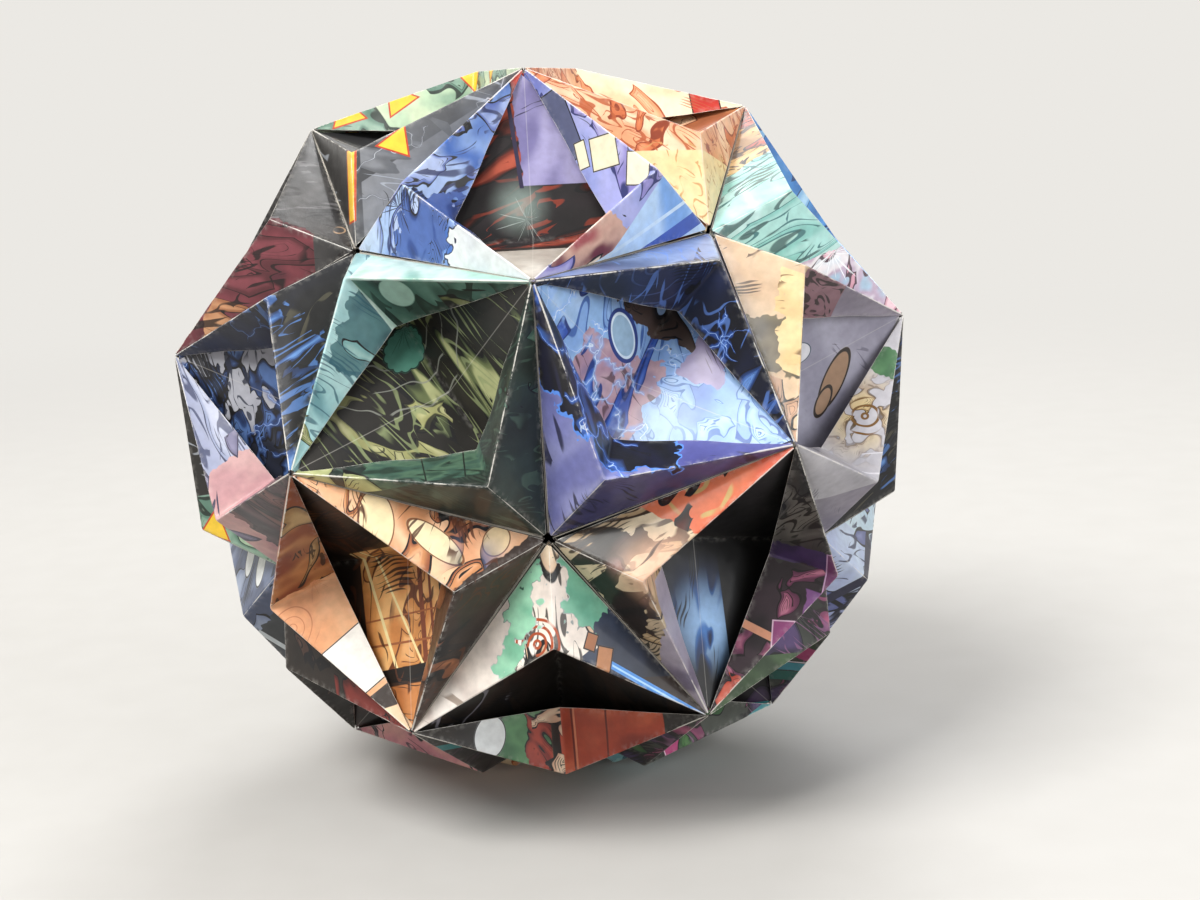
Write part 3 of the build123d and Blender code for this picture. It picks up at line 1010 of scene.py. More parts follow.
@look
def tan_flaps(p):
    p.wash("b8744e d89c74 ecc09a c4885e", 18, 25, 1.6)
    p.forms("8f5034 c48658 e6b088", 10, 0.36, 0.012, 60, 1.6, 1.0, LEFT)
    p.oval("f0d8ac", (-10, -21), (8, 15), 25, 0.25, edge="7a4a2c", zone=LEFT)
    p.oval("f0dcb2", (-18, -11), (6, 16), -20, 0.25, edge="7a4a2c", zone=LEFT)
    p.oval("ecd2a6", (-29, -5), (6, 8), 60, 0.25, edge="7a4a2c", zone=LEFT)
    p.hatch(0.9, 20, 0.5, 8, [LEFT, (-90, 6)], "5a2f1c")
    p.forms("3b3d54 5c6080", 8, 0.6, 0.01, 0, 1, 0.4, [LEFT, p.near((-23, -3), 9)])
    p.wash("1f1614 33241e 46302a", 18, 70, 2, [LEFT, (97, 1.5, 0.8)])
    p.forms("7a4a30 a86c44", 9, 0.34, 0.01, 80, 2.4, 0.8, [LEFT, (97, 1.5), (0, -20)])
    p.lines(6, 60, 3.0, 7, 0.32, 0.64, None, "4a2616")
    upper, foot = [RIGHT, (-90, 1.5)], [RIGHT, (90, -1.5, 1)]
    p.wash("6a3020 8f4a2c b87c4c 7c3a26", 13, 70, 2, upper)
    p.forms("9c7a50 c8a878", 9, 0.44, 0.012, 30, 1.6, 1.0, [upper, (180, -12)])
    p.lines(4, 20, 1.8, 6, 0.5, 0.6, [upper, (90, -14)], "24140e")
    p.wash("dc9c70 eeb88c e4a87c", 14, 30, 1.5, foot)
    p.rays("b4664e", (5, -2), 16, 0.4, 8, foot, 0.7)
    p.arcs("c07a54", (13, 6), 1.8, 0.16, 6, foot)
    p.box("3f3835", (1, 29), (24, 5), -12, 0.0, zone=RIGHT)
    p.box("f4f1ea", (3, 19), (17, 13), -14, 0.25, zone=RIGHT)
    p.wash("eec49a f8dcb8", 9, 0, 2, [RIGHT, (80, 31)])


@look
def tan_recess(p):
    p.wash("16100d 241812 38241a 1a110d", 20)
    p.forms("4a2e1e 7a5236", 10, 0.4, 0.01, 70, 2.6, 0.9, [(200, -14), (-90, 0)])
    block = [(5, -8), (186, -14), (96, -5), (-84, -25)]
    p.wash("b8703a dc9856 f2bc7a cc8446", 16, 10, 2, block)
    p.forms("cc8a4c eab074", 9, 0.3, 0.01, 20, 2, 0.8, block, "6a3a20")
    p.band("7c3f26", 4, -3, 1.3, block)
    p.band("7c3f26", 4, -5.6, 0.7, block)
    p.band("9c5a34", 94, 19, 0.5, block)
    p.band("9c5a34", 96, 13, 0.4, block)
    p.band("f8e4a8", 20, 12, 0.8, block)
    p.band("f8e4a8", 28, 8, 0.6, block)
    p.band("160d0a", 96, 25.6, 3.0)
    p.wash("a86434 d08c54", 9, 0, 2, (95, 28))
    p.lines(7, 8, 3.6, 6, 0.28, 0.6, None, "4f2a18")
    p.hatch(1.1, 85, 0.4, 12)


@look
def aqua_flaps(p):
    p.wash("dcd0c6 eee4d8 f0eae2 cfc0b4", 20, 15, 1.5, LEFT)
    p.forms("cdb094 e8d2b4", 9, 0.34, 0.014, 84, 3.4, 1.0, LEFT)
    p.lines(5.5, 84, 3.9, 8, 0.42, 0.9, LEFT, "1f1714")
    p.hatch(0.9, 88, 0.5, 12, LEFT, "14110f")
    p.arcs("a84a24", (-17, -4), 1.5, 0.5, 6, LEFT)
    p.wash("1f4c3c", zone=[LEFT, (-105, 11, 3.5)])
    p.wash("74b494 98d0b0 84c4a4", 9, 20, 2, [LEFT, (-105, 11.4, 3.5)])
    p.wash("2f5a4a", zone=[LEFT, (-105, 16.8, 3)])
    p.wash("e0d4c8 ece2d8 d4c8c0 f0e8e0", 18, 60, 1.5, [LEFT, (-105, 17.2, 3)])
    p.lines(8, 30, 5, 4, 0.26, 0.6, [LEFT, (-105, 18)], "8c7868", 0.8)
    p.wash("1f3c34", zone=[LEFT, (150, 20.6, 2), (90, 3, 2)])
    p.wash("5c9c84 80bca0", 9, 20, 2, [LEFT, (150, 21, 2), (90, 3.3, 2)])
    p.wash("171b26 262e40 333d52", 14, 60, 2, [LEFT, (60, -1, 1.5)])
    p.wash("1a1412 2c211c", 12, 60, 2, [LEFT, (0, -9), (90, 4)])
    p.hatch(1.0, 60, 0.4, 10, [LEFT, (60, 1)], "0a0c12")
    p.band("4f8fd8", 152, 17, 1.6, [LEFT, (90, 13)])
    p.band("a8d0f8", 152, 17, 0.4, [LEFT, (90, 14)])
    p.box("b07850", (-13, 12), (6, 4), 12, 0.3, zone=LEFT)
    p.box("9c6440", (-17, 9), (4, 3), 20, 0.3, zone=LEFT)
    p.wash("171210 221c18 120f0e", 18, 0, 1, RIGHT)
    block = [RIGHT, (92, -1), (-88, -27)]
    p.wash("8e3222 b4472e cc6242 a03c28", 15, 0, 2, block)
    p.band("6c261a", 90, 3, 0.5, block)
    p.band("6c261a", 90, 12, 0.5, block)
    p.band("e08a68", 90, 3.6, 0.5, block)
    scrub = [RIGHT, (-90, 3), (90, -17, 2)]
    p.wash("3f6a48 5a8a5e 2f5238", 9, 30, 1.4, scrub)
    p.forms("7a2c26 a84434", 8, 0.5, 0.012, 60, 1.8, 0.6, [scrub, (90, -10, 1)])
    p.forms("cfa88c e4ccb0", 6, 0.3, 0.014, 20, 1.8, 1.0, [RIGHT, (-90, 0), (90, -8)])
    p.oval("e6eaea", (4, -19), (11, 9), 20, 0.25, zone=RIGHT)


@look
def aqua_recess(p):
    p.wash("0e0b0a 171210 1f1815 110e0d", 24)
    p.forms("241b17 382a22", 14, 0.34, 0.006, 70, 3, 0.7)
    p.arcs("7f7c84", (2, -26), 12, 0.09, 15)
    p.hatch(1.1, 30, 0.4, 10, colour="050505")


@look
def mint_flaps(p):
    p.wash("84b8ae a0cac2 b2d4d0 94c2be", 18, 20, 3)
    p.forms("7ab8b0 9cccc6", 8, 0.3, 0.006, 88, 5, 0.8, ink="2f6a6c")
    p.lines(6, 86, 6, 7, 0.4, 0.9, RIGHT, "1f4c4a")
    p.hatch(1.1, 84, 0.42, 13, [RIGHT, (-90, 2)], "1d4038")
    p.hatch(1.0, 40, 0.4, 10, [RIGHT, (90, 4), (180, -20)], "1f5a66")
    top = [RIGHT, (-80, 19, 0.6)]
    p.wash("8f6a3c c09458 d8b880 a47c48", 7, 84, 3, top)
    p.forms("6f2f22 a8442f", 6, 0.34, 0.01, 84, 3, 0.6, top)
    p.lines(4, 84, 5, 9, 0.5, 0.9, top, "1f120a")
    foot = [RIGHT, (88, 17, 1)]
    p.wash("c8d4dc e0dce0 b8a4b8 a4c0d4", 6, 60, 2, foot)
    p.forms("c890a0 e8c4cc", 6, 0.34, 0.012, 40, 2.4, 0.8, foot, "4a3440")
    p.rays("eceff2", (12, 17), 8, 0.5, 12, foot)
    p.wash("2f6fb4 4f94d4 1f4f8c", 16, 60, 3, LEFT)
    p.forms("7fb4e0 b4d8f0", 9, 0.3, 0.008, 70, 3, 0.6, LEFT, "123a6c")


@look
def mint_recess(p):
    p.wash("1c3034 3f6468 8fbcb8", 18, 30, 2)
    p.forms("3c6c70 84b4b0", 8, 0.4, 0.01, 60, 3, 0.9, ink="12282c")
    p.lines(6, 60, 5, 7, 0.36, 0.8, None, "16343a")
    p.hatch(1.1, 50, 0.5, 12)


@look
def cream_flaps(p):
    p.wash("bca88c d0bc9c e0cfb0 c4ae8e", 20, 30, 2)
    p.forms("b0946f d4bc96", 10, 0.3, 0.012, 60, 3, 1.0, RIGHT, "3a2a1c")
    p.lines(5, 45, 3.6, 7, 0.36, 0.8, RIGHT, "2c2018")
    p.forms("14100d 241a15", 7, 0.5, 0.0, 40, 4, 0.4, [RIGHT, (0, 15, 2), (90, -9, 2)])
    p.hatch(0.9, 40, 0.5, 10, [RIGHT, (0, 12)], "1d1610")
    blush = [RIGHT, p.near((14, -3), 13)]
    p.wash("dcac90 e8c0a0", 12, 60, 1.6, blush)
    p.forms("7a4a50 a87880", 6, 0.3, 0.02, 30, 2.4, 1.0, blush)
    p.wash("a83822 cc5638 d87450", 16, 40, 2, [RIGHT, (-90, 13.4, 0.8)])
    p.arcs("c4a468", (15, -23), 4.6, 0.3, 8, [RIGHT, (-90, 12)])
    p.forms("240e0a 4c1a12", 6, 0.34, 0.012, 20, 2, 0.6, [RIGHT, (-90, 13), (0, 7)])
    p.wash("7a7084 a89eac b4acb8", 12, 80, 4, [RIGHT, (170, -8, 1), (90, 3)])
    p.wash("262422 363432 484644 2a2826", 20, 20, 1, LEFT)
    p.lines(5, 30, 3, 6, 0.4, 0.6, [LEFT, (-90, 5)], "100e0d")
    p.hatch(1.0, 30, 0.5, 12, LEFT)
    p.wash("2a1d3c 44305e 1f1630", 10, 30, 2, [LEFT, (96, -5, 1), (276, -1)])
    plum = [LEFT, (96, 1, 1)]
    p.wash("241a20 382a32 1c151a", 12, 40, 1.6, plum)
    p.forms("5c2c48 96506e c07890", 6, 0.44, 0.01, 50, 1.6, 1.0, plum, "140c10")
    p.forms("2f4438 4a6450", 8, 0.24, 0.01, 30, 2, 0.6, [LEFT, (96, 17)])
    p.band("dc9c7c", 82, 16.6, 1.8, [LEFT, (0, -9)])
    panel = [LEFT, (195, 8.5, 0.6), (90, 5)]
    p.wash("54386c 84548c 6c3c64 3c2850", 10, 20, 2, panel)
    p.box("6c3460", (-17, 0), (8, 14), -8, 0.3, "c49cc0", zone=LEFT)
    p.band("4fa0b4", 107, 17, 2.6, [LEFT, (180, 8)])
    p.box("94487c", (-10, 20), (5, 14), -16, 0.3, "e0c0d4", zone=LEFT)
    p.forms("b04030 cc6450", 5, 0.4, 0.01, 0, 1.4, 0.5, [LEFT, (90, 28)])
    rough = [LEFT, (-90, 6, 1)]
    p.forms("4c4a46 6f6c66", 8, 0.4, 0.014, 30, 3, 1.2, rough, "14120f")
    p.lines(5, 30, 4, 7, 0.4, 0.8, rough, "14120f")


@look
def cream_recess(p):
    p.wash("07070a 0c0c10 08080c", 26)
    gleam = [(96, 3, 1), (3, -6)]
    p.glow("16305c", (-1, 16), 14, gleam, 1.0)
    streaks = [gleam, p.near((-2, 19), 13)]
    p.forms("1c3c74 3f78c0 9cc4f0", 5, 0.8, 0.0, 4, 4, 0.4, streaks)
    p.hatch(1.0, 6, 0.45, 9, gleam, "04060c")


@look
def lilac_flaps(p):
    p.wash("b89878 ccb090 d8c2a0", 22, 20, 1, RIGHT)
    p.hatch(0.9, 60, 0.7, 8, [RIGHT, (0, 19), (90, 2)], "3c2c1c")
    p.lines(6, 40, 3, 5, 0.34, 0.7, RIGHT, "4a3828")
    olive = [RIGHT, (112, 6.4, 1.2), (-90, -25, 1)]
    p.wash("4c4434 6c6048 3a3428", 9, 30, 1.6, olive)
    fold = [RIGHT, (205, -20, 1.5), (22.5, 14.6), (90, 2), (-90, -24)]
    p.wash("c8a672 dcc290 d0b07c", 9, 75, 3, fold)
    p.lines(5, 75, 5, 5, 0.4, 0.8, fold, "6a4a20")
    mauve = [RIGHT, (-90, 1), (180, -15)]
    p.wash("7c5860 94707a 86626c", 12, 0, 2, mauve)
    p.lines(5, 30, 2.4, 6, 0.6, 0.9, [mauve, (90, -15)], "1c1214")
    p.wash("8c8494 9c95a4", 12, 0, 2, [mauve, (-84, 16)])
    p.forms("a8846a c49c80", 8, 0.5, 0.012, 20, 2, 0.6, [RIGHT, (90, 26)])
    p.wash("aaa8b0 bfbdc4 cccad0 b4b2ba", 28, 0, 1, LEFT)
    p.wash("7f7a8c 98929f", 18, 0, 1, [LEFT, (202.5, 14.6), (90, 0)])
    scroll = [LEFT, p.near((-4, -12), 15)]
    p.forms("b8945c e0c890", 4, 0.5, 0.02, 30, 1.4, 1.2, scroll, "4c3410")
    p.arcs("7a5420", (-5, -12), 2.0, 0.34, 5, LEFT)
    p.band("dcdae0", 120, 6, 0.4, [LEFT, (180, 6)])
    p.band("dcdae0", 124, 2, 0.3, [LEFT, (180, 9)])
    p.wash("3f6a48 5f8f62", 7, 0, 2, [LEFT, (-90, 23, 1), (90, -29, 1)])
    p.hatch(0.9, 60, 0.34, 8, LEFT, "5c5a6a", 0.6)


@look
def lilac_recess(p):
    p.wash("8a8798 9c99aa a9a7b8 9290a2", 34)
    p.lines(7, 70, 4, 3, 0.3, 0.4, None, "5a5668", 0.6)
    p.oval("dcdce2", (4, -10), (5, 8), 0, 0.2, edge="3c4c60")
    for at, size in (((-5.5, -16.5), (6, 17)), ((-9, -12), (4, 9))):
        p.oval("a08066", at, size, -40, 0.4, edge="241a16")
    p.hatch(0.9, 50, 0.4, 9, [(200, 4, 1), (-70, 14, 1)], "3c2c24", 0.7)


@look
def charcoal_flaps(p):
    p.wash("23251f 343832 474b44 2a2c28", 20)
    p.forms("7a3c5c b0587c", 8, 0.26, 0.008, 30, 1.6, 0.8, ink="1d1018")
    p.forms("2f2440 54406c", 12, 0.3, 0.01, 50, 1.6, 0.8)
    p.hatch(1.1, 45, 0.45, 10)
    p.lines(6, 30, 3.6, 7, 0.3, 0.68, None, "8f5f86", 0.7)
    p.box("b8487c", (-13, 12), (13, 6), 15, 0.0, zone=LEFT)
    p.band("e7dfe6", -75, -17, 0.4, LEFT)
    p.band("4f9fb0", -75, -19, 3.2, LEFT)
    p.band("2f6f66", -75, -23, 4.0, LEFT)
    p.wash("2c3f28 486040 22301f", 12, 30, 2, [LEFT, (0, -12), (-90, -8)])
    p.box("b8487c", (14, 10), (12, 6), -35, 0.3, "e7c4d4", zone=RIGHT)
    p.band("3d8f96", 35, 22, 4.0, RIGHT)
    p.forms("2f5230 4f7a46", 8, 0.2, 0.01, 0, 1, 0.5, RIGHT)


@look
def charcoal_recess(p):
    p.wash("0d0c0e 1b181d 2c2732 141217", 22)
    p.hatch(1.1, 15, 0.45, 9, colour="4a4450")
    p.forms("2c2136 463652", 12, 0.3, 0.008, 40, 2, 0.7)


@look
def peach_flaps(p):
    p.wash("d89468 e6ac80 f0c49c dc9c70", 18, 30, 1.8)
    p.forms("e2a47c f4ceaa", 9, 0.44, 0.01, 40, 1.8, 1.0, ink="b4603c")
    p.forms("c86c40 e49468", 9, 0.2, 0.01, 0, 1.4, 0.8, ink="8a3a20")
    p.lines(5.5, 35, 3.0, 8, 0.34, 0.77, None, "b0562e")
    p.wash("e8c890 f2dcac", 12, 30, 2, [RIGHT, (0, 20)])
    p.lines(4, 50, 1.6, 6, 0.3, 0.7, [RIGHT, (0, 18)], "c8945c")
    cream = [LEFT, (110, 4)]
    p.wash("ecd8b0 f2e2c2 e0c49c", 14, 30, 2, cream)
    p.forms("dc9468 eeb890", 7, 0.34, 0.01, 60, 2, 0.8, cream, "a8502c")
    p.box("b82c22", (-4, 29), (11, 7), 0, 0.3, zone=LEFT)
    p.hatch(0.9, 30, 0.4, 8, colour="b05a38", strength=0.7)


@look
def peach_recess(p):
    p.wash("6c3420 9c5a38 c48458 864628", 18)
    p.hatch(1.1, 65, 0.5, 9, colour="3c170c")
    p.forms("d09c78 e8c4a0", 9, 0.26, 0.012, 20, 2, 0.8, ink="5a2412")


@look
def ash_flaps(p):
    p.wash("3c3d40 4c4d50 5c5e62 46474a", 26, 20, 1.4)
    p.wash("6c6e72 84868a", 20, 20, 2, [RIGHT, (90, 2), (30, 21)])
    p.wash("121110 1f1d1b 2a2826", 16, 70, 2, [RIGHT, (-90, 4, 1)])
    p.forms("5c5e62 7c7e82", 10, 0.24, 0.0, 30, 3, 0.3, [RIGHT, (90, 2)])
    p.threads("d0d2d6", "6a6d74", 16, 0.008, [RIGHT, (90, 1)])
    p.hatch(1.0, 70, 0.36, 12, colour="1d1e20")
    p.lines(8, 20, 5.1, 5, 0.26, 0.51, RIGHT, "aab0b8", 0.7)
    p.box("ecc034", (23, -1.4), (18, 4.6), 3, 0.5, "c0401f", zone=RIGHT)
    p.wash("8fae94 b4ccac ccdab8 7c9c8c", 12, 20, 1.5, LEFT)
    p.forms("587c6c 8cac98", 8, 0.34, 0.012, 40, 1.6, 1.0, LEFT, "1f3028")
    p.hatch(0.9, 20, 0.36, 10, LEFT, "2a3a32")
    for at, turn in (((-8, -18), 40), ((-14, 0), 75), ((-4, -30), 20), ((-12, 14), 50)):
        p.wedge("f0c838", at, 2.6, turn, "c0401f", zone=LEFT)
    p.wedge("f0c838", (14.5, 10), 2.4, 95, "c0401f", zone=RIGHT)


@look
def ash_recess(p):
    p.wash("1a1a1c 2c2d30 404246", 24)
    p.hatch(1.1, 20, 0.45, 10)
    p.forms("3c3e42 5c5e62", 10, 0.3, 0.008, 40, 3, 0.5)


@look
def crimson_flaps(p):
    p.wash("201f20 2e2d2e 403e3e 272627", 22, 20, 1.5)
    red = [(90, -1, 1), (20, -26)]
    p.wash("3c171c 5c2830 74363e 48202a", 13, 70, 2.4, red)
    p.forms("54262c 7a3c44", 9, 0.3, 0.005, 75, 3, 0.6, red, "240f12")
    p.forms("9c6444 c8946c", 8, 0.42, 0.006, 84, 5, 0.4, [(90, 17, 1), (180, 6, 1)])
    p.lines(6, 60, 5, 4, 0.3, 0.6, (-90, 0), "6c6a6c", 0.7)
    p.lines(7, 65, 4.2, 7, 0.3, 0.68, None, "120a0c")
    p.band("c8804c", 0, 14.5, 1.4, (-90, 5))
    p.hatch(1.1, 40, 0.46, 11)
    p.arcs("a88c70", (-31, -5), 2.4, 0.2, 3)


@look
def crimson_recess(p):
    p.wash("120c0d 24151a 3c1e22 160f10", 22)
    p.hatch(1.2, 60, 0.5, 10, colour="0a0606")
    p.forms("58242a 823c3c", 11, 0.26, 0.01, 30, 2, 0.8)


@look
def ink_flaps(p):
    p.wash("0b0b0d 131316 1c1d24 0f0f12", 22, 0, 1, LEFT)
    p.lines(7, 60, 5, 5, 0.3, 0.7, LEFT, "4a4638", 0.8)
    near = [LEFT, (12, -18, 3)]
    p.forms("1a2c50 35568c 5f88c0", 6, 0.4, 0.012, 80, 3, 1.2, near, "07080c")
    p.lines(5, 84, 5, 6, 0.36, 0.8, near, "4c70a8")
    p.hatch(1.0, 80, 0.6, 8, near, "07080c")
    p.wash("101424 1c2540", 12, 60, 2, [LEFT, (-90, 6, 1), (0, -12)])
    p.threads("8fb4e8", "28467e", 12, 0.012, [LEFT, (-60, -4)])
    p.wash("8c94b4 a2a9c6 b2b8d0", 16, 20, 3, RIGHT)
    p.forms("9aa4c4 bcc2d8", 7, 0.34, 0.01, 12, 4, 1.0, RIGHT, "343c5c")
    p.lines(5, 12, 6, 7, 0.4, 0.9, RIGHT, "3c4468")
    rose = [RIGHT, (90, -10, 1.5)]
    p.wash("c49498 d8aeac b8848c", 14, 60, 2, rose)
    p.forms("6f6c8c 8f8cac", 6, 0.34, 0.016, 30, 3, 0.8, [RIGHT, (90, -15)], "34304c")
    plum = [RIGHT, (90, 8, 1)]
    p.wash("3c2a34 5a4048 2c222c", 12, 80, 3, plum)
    p.forms("5a3c40 7a5656", 8, 0.34, 0.014, 80, 4, 1.0, plum)
    p.lines(5, 80, 4, 7, 0.34, 0.7, plum, "1a1216")


@look
def ink_recess(p):
    p.wash("0f1014 181a22 262b3c 121318", 16, 40, 2)
    pale = [(-90, 11, 1.5), (-165, -7, 1.5)]
    p.wash("9a9ca8 b0b2bc a2a4b0", 14, 40, 2, pale)
    p.forms("141e3a 2c4270 5474ac", 5, 0.44, 0.014, 60, 1.6, 1.2, (-90, 4))
    p.lines(5, 60, 2.4, 6, 0.36, 0.8, pale, "20263c")
    p.threads("a4c0f0", "3a5a9c", 10, 0.014)
    p.hatch(1.1, 50, 0.5, 9)


@look
def pink_flaps(p):
    p.wash("14110f 1f1a17 28211d 171311", 22)
    p.forms("4a1a18 7c2e28", 9, 0.9, 0.008, 60, 1.6, 0.6, [LEFT, (96, 17)])
    p.forms("3c2a24 5a4238", 8, 0.2, 0.01, 40, 2, 1.0, LEFT)
    p.rays("5a5450", (-10, 28), 5, 0.3, 12, LEFT, 0.6)
    p.hatch(1.0, 35, 0.42, 9)
    rose = [RIGHT, (-90, 0)]
    p.wash("a8606c d08890 e0a49c b8747c", 14, 30, 1.6, rose)
    p.forms("d89c9c f0c8c0", 8, 0.34, 0.01, 60, 2.2, 1.0, rose)
    p.lines(6, 50, 3.6, 7, 0.32, 0.68, RIGHT, "43303c")
    p.band("2f7f80", 60, 24, 2.6, RIGHT)


@look
def pink_recess(p):
    p.wash("140b0c 2a1414 3c1a1a 160e0f", 22)
    p.hatch(1.1, 20, 0.45, 9, colour="070404")
    p.forms("343c46 5c6c7c", 10, 0.24, 0.01, 40, 2, 0.8)


@look
def slate_flaps(p):
    p.wash("3c465e 566280 6c7894 48526c", 18, 0, 1)
    p.forms("7c88a4 98a4bc", 11, 0.3, 0.01, 50, 2, 0.6)
    p.lines(6, 60, 4, 5, 0.34, 0.6, None, "1c2233")
    p.oval("eef0f0", (-26, -8), (6, 12), 14, 0.25, zone=LEFT)
    p.oval("eef0f0", (-19, -15), (6, 12), 14, 0.25, zone=LEFT)
    p.wash("34383c 50545a 24272a", 12, 0, 2, [LEFT, (90, 5, 1)])
    p.band("c8d0d4", 0, -14, 1.6, [LEFT, (90, 5)])
    p.wash("3f7a66 5c9c84", 10, 30, 2, [RIGHT, (0, 18)])
    p.hatch(1.0, 35, 0.4, 9, colour="161a26")


@look
def slate_recess(p):
    p.wash("1c2230 303a50 46526c 222838", 22)
    p.hatch(1.1, 30, 0.5, 10)
    p.forms("5c6884 8490a8", 9, 0.28, 0.01, 60, 2, 0.8)


@look
def frost_flaps(p):
    p.wash("8f98c4 b0bcdc c8d6ea a0accf", 20, 30, 2)
    p.wash("b8d0e0 d4e6ee", 14, 30, 2, [RIGHT, (-90, 12)])
    p.forms("5c6494 8c94c0", 10, 0.3, 0.012, 60, 2, 0.8)
    p.arcs("17182a", (2, 2), 26, 0.12, 20, RIGHT)
    p.box("24243c", (16, -2), (3, 26), 18, 0.0, zone=RIGHT)
    p.lines(6, 50, 3.6, 5, 0.34, 0.6, None, "23264a")
    p.wash("26202c 40343f", 12, 40, 2, [LEFT, (80, 2)])
    p.forms("7a3c5c a85c80", 7, 0.34, 0.01, 30, 1.8, 0.8, [LEFT, (80, 2)])
    p.hatch(0.9, 25, 0.4, 10, colour="1c1e38")


@look
def frost_recess(p):
    p.wash("2a3050 4a5684 7c8cb8 343c60", 20, 30, 2)
    p.forms("a4b4d8 ccdaee", 8, 0.34, 0.01, 60, 2.4, 1.0, ink="1f2a54")
    p.hatch(1.1, 60, 0.44, 9)


# Each sheet's print: the name of its flaps' and recess's colours, a seed, and how far the
# design is turned on the sheet.
SHEET_PRINTS = {
    "upper_sheet_5": ("periwinkle", 1, 0), "belt_sheet_10": ("green", 2, 0),
    "belt_sheet_1": ("navy", 3, 0), "lower_sheet_5": ("tan", 4, 0),
    "bottom_sheet_1": ("aqua", 5, 0), "lower_sheet_1": ("cream", 6, 0),
    "belt_sheet_2": ("lilac", 7, 0), "bottom_sheet_2": ("charcoal", 8, 0),
    "upper_sheet_1": ("mint", 9, 0), "top_sheet_1": ("peach", 10, 0),
    "top_sheet_5": ("ash", 11, 0), "upper_sheet_4": ("crimson", 12, 0),
    "belt_sheet_9": ("ink", 13, 0), "bottom_sheet_5": ("pink", 14, 0),
    "bottom_sheet_3": ("green", 15, 70), "bottom_sheet_4": ("peach", 16, 140),
    "lower_sheet_2": ("frost", 17, 0), "lower_sheet_3": ("periwinkle", 18, 180),
    "lower_sheet_4": ("slate", 19, 0), "belt_sheet_3": ("ink", 20, 180),
    "belt_sheet_4": ("tan", 21, 180), "belt_sheet_5": ("pink", 22, 40),
    "belt_sheet_6": ("cream", 23, 190), "belt_sheet_7": ("green", 24, 240),
    "belt_sheet_8": ("ash", 25, 60), "upper_sheet_2": ("lilac", 26, 130),
    "upper_sheet_3": ("navy", 27, 300), "top_sheet_2": ("pink", 28, 220),
    "top_sheet_3": ("green", 29, 20), "top_sheet_4": ("periwinkle", 30, 170),
}


def inside_paper(colours):
    """The folded-away side: bare coated stock with faint show-through."""
    material = bpy.data.materials.new("inside_paper")
    material.use_nodes = True
    material.node_tree.nodes.clear()
    tree = Tree(material.node_tree)
    place = tree.add("Attribute", attribute_name="flat").outputs["Vector"]
    ghost = tree.step(tree.noise(place, 0.12, 3, 0.8), 0.35, 0.7)
    colour = tree.mix(ghost, (*colours.inside, 1), linear("9d9890"))
    grain = tree.noise(place, 3, 2)
    bump = tree.add("Bump", {"Height": grain, "Strength": 0.2, "Distance": 0.0001})
    rough = tree.math("ADD", 0.45, tree.math("MULTIPLY", grain, 0.2))
    skin = tree.add("BsdfPrincipled", {
        "Base Color": colour, "Roughness": rough, "Normal": bump.outputs[0]})
    tree.add("OutputMaterial", {0: skin.outputs[0]})
    return material


def make_effects():
    """The shared node groups, built once."""
    groups = [maker() for maker in (
        brush_forms, line_drawing, pen_hatching, bright_threads, ring_arcs, ray_burst, wear_and_gap_shade)]
    groups += [bounded("Ruled box", False), bounded("Scalloped oval", True)]
    Print.effects.update((group.name, group) for group in groups)


def sheet_prints(colours):
    """The flap and recess materials of every sheet."""
    prints = {}
    for sheet, (name, seed, turn) in SHEET_PRINTS.items():
        for part in ("flaps", "recess"):
            made = Print(f"{name}_{part}_{seed}", seed, radians(turn), colours)
            LOOKS[f"{name}_{part}"](made)
            prints[sheet, part] = made.finish(colours.wear, part == "recess")
    return prints


# Pieces


class Ball:
    """What the pieces share: the fold's corners, the hubs, the frames and the prints."""

    def __init__(self, scene):
        self.sizes = scene.fold_sizes
        self.shape = fold_shape(self.sizes)
        low, high = (np.array(corner) for corner in cad_box)
        self.centre = (low + high) / 2
        self.hubs = hub_directions(self.centre)
        self.ends = valley_ends()
        self.axes = {
            sheet: sheet_axes(*(self.hubs[end] for end in ends))
            for sheet, ends in self.ends.items()
        }
        make_effects()
        self.prints = sheet_prints(scene.paper_colours)
        self.inside = inside_paper(scene.paper_colours)

    def host(self, hub_name, next_hub):
        """The sheet that a tab lies on: its valley fold joins the tab's hub to the next."""
        nearest = max(self.hubs, key=lambda name: self.hubs[name] @ next_hub)
        pair = {hub_name, nearest}
        return next(other for other, ends in self.ends.items() if set(ends) == pair)


ball = {}  # what PrepareBall makes for the other operators


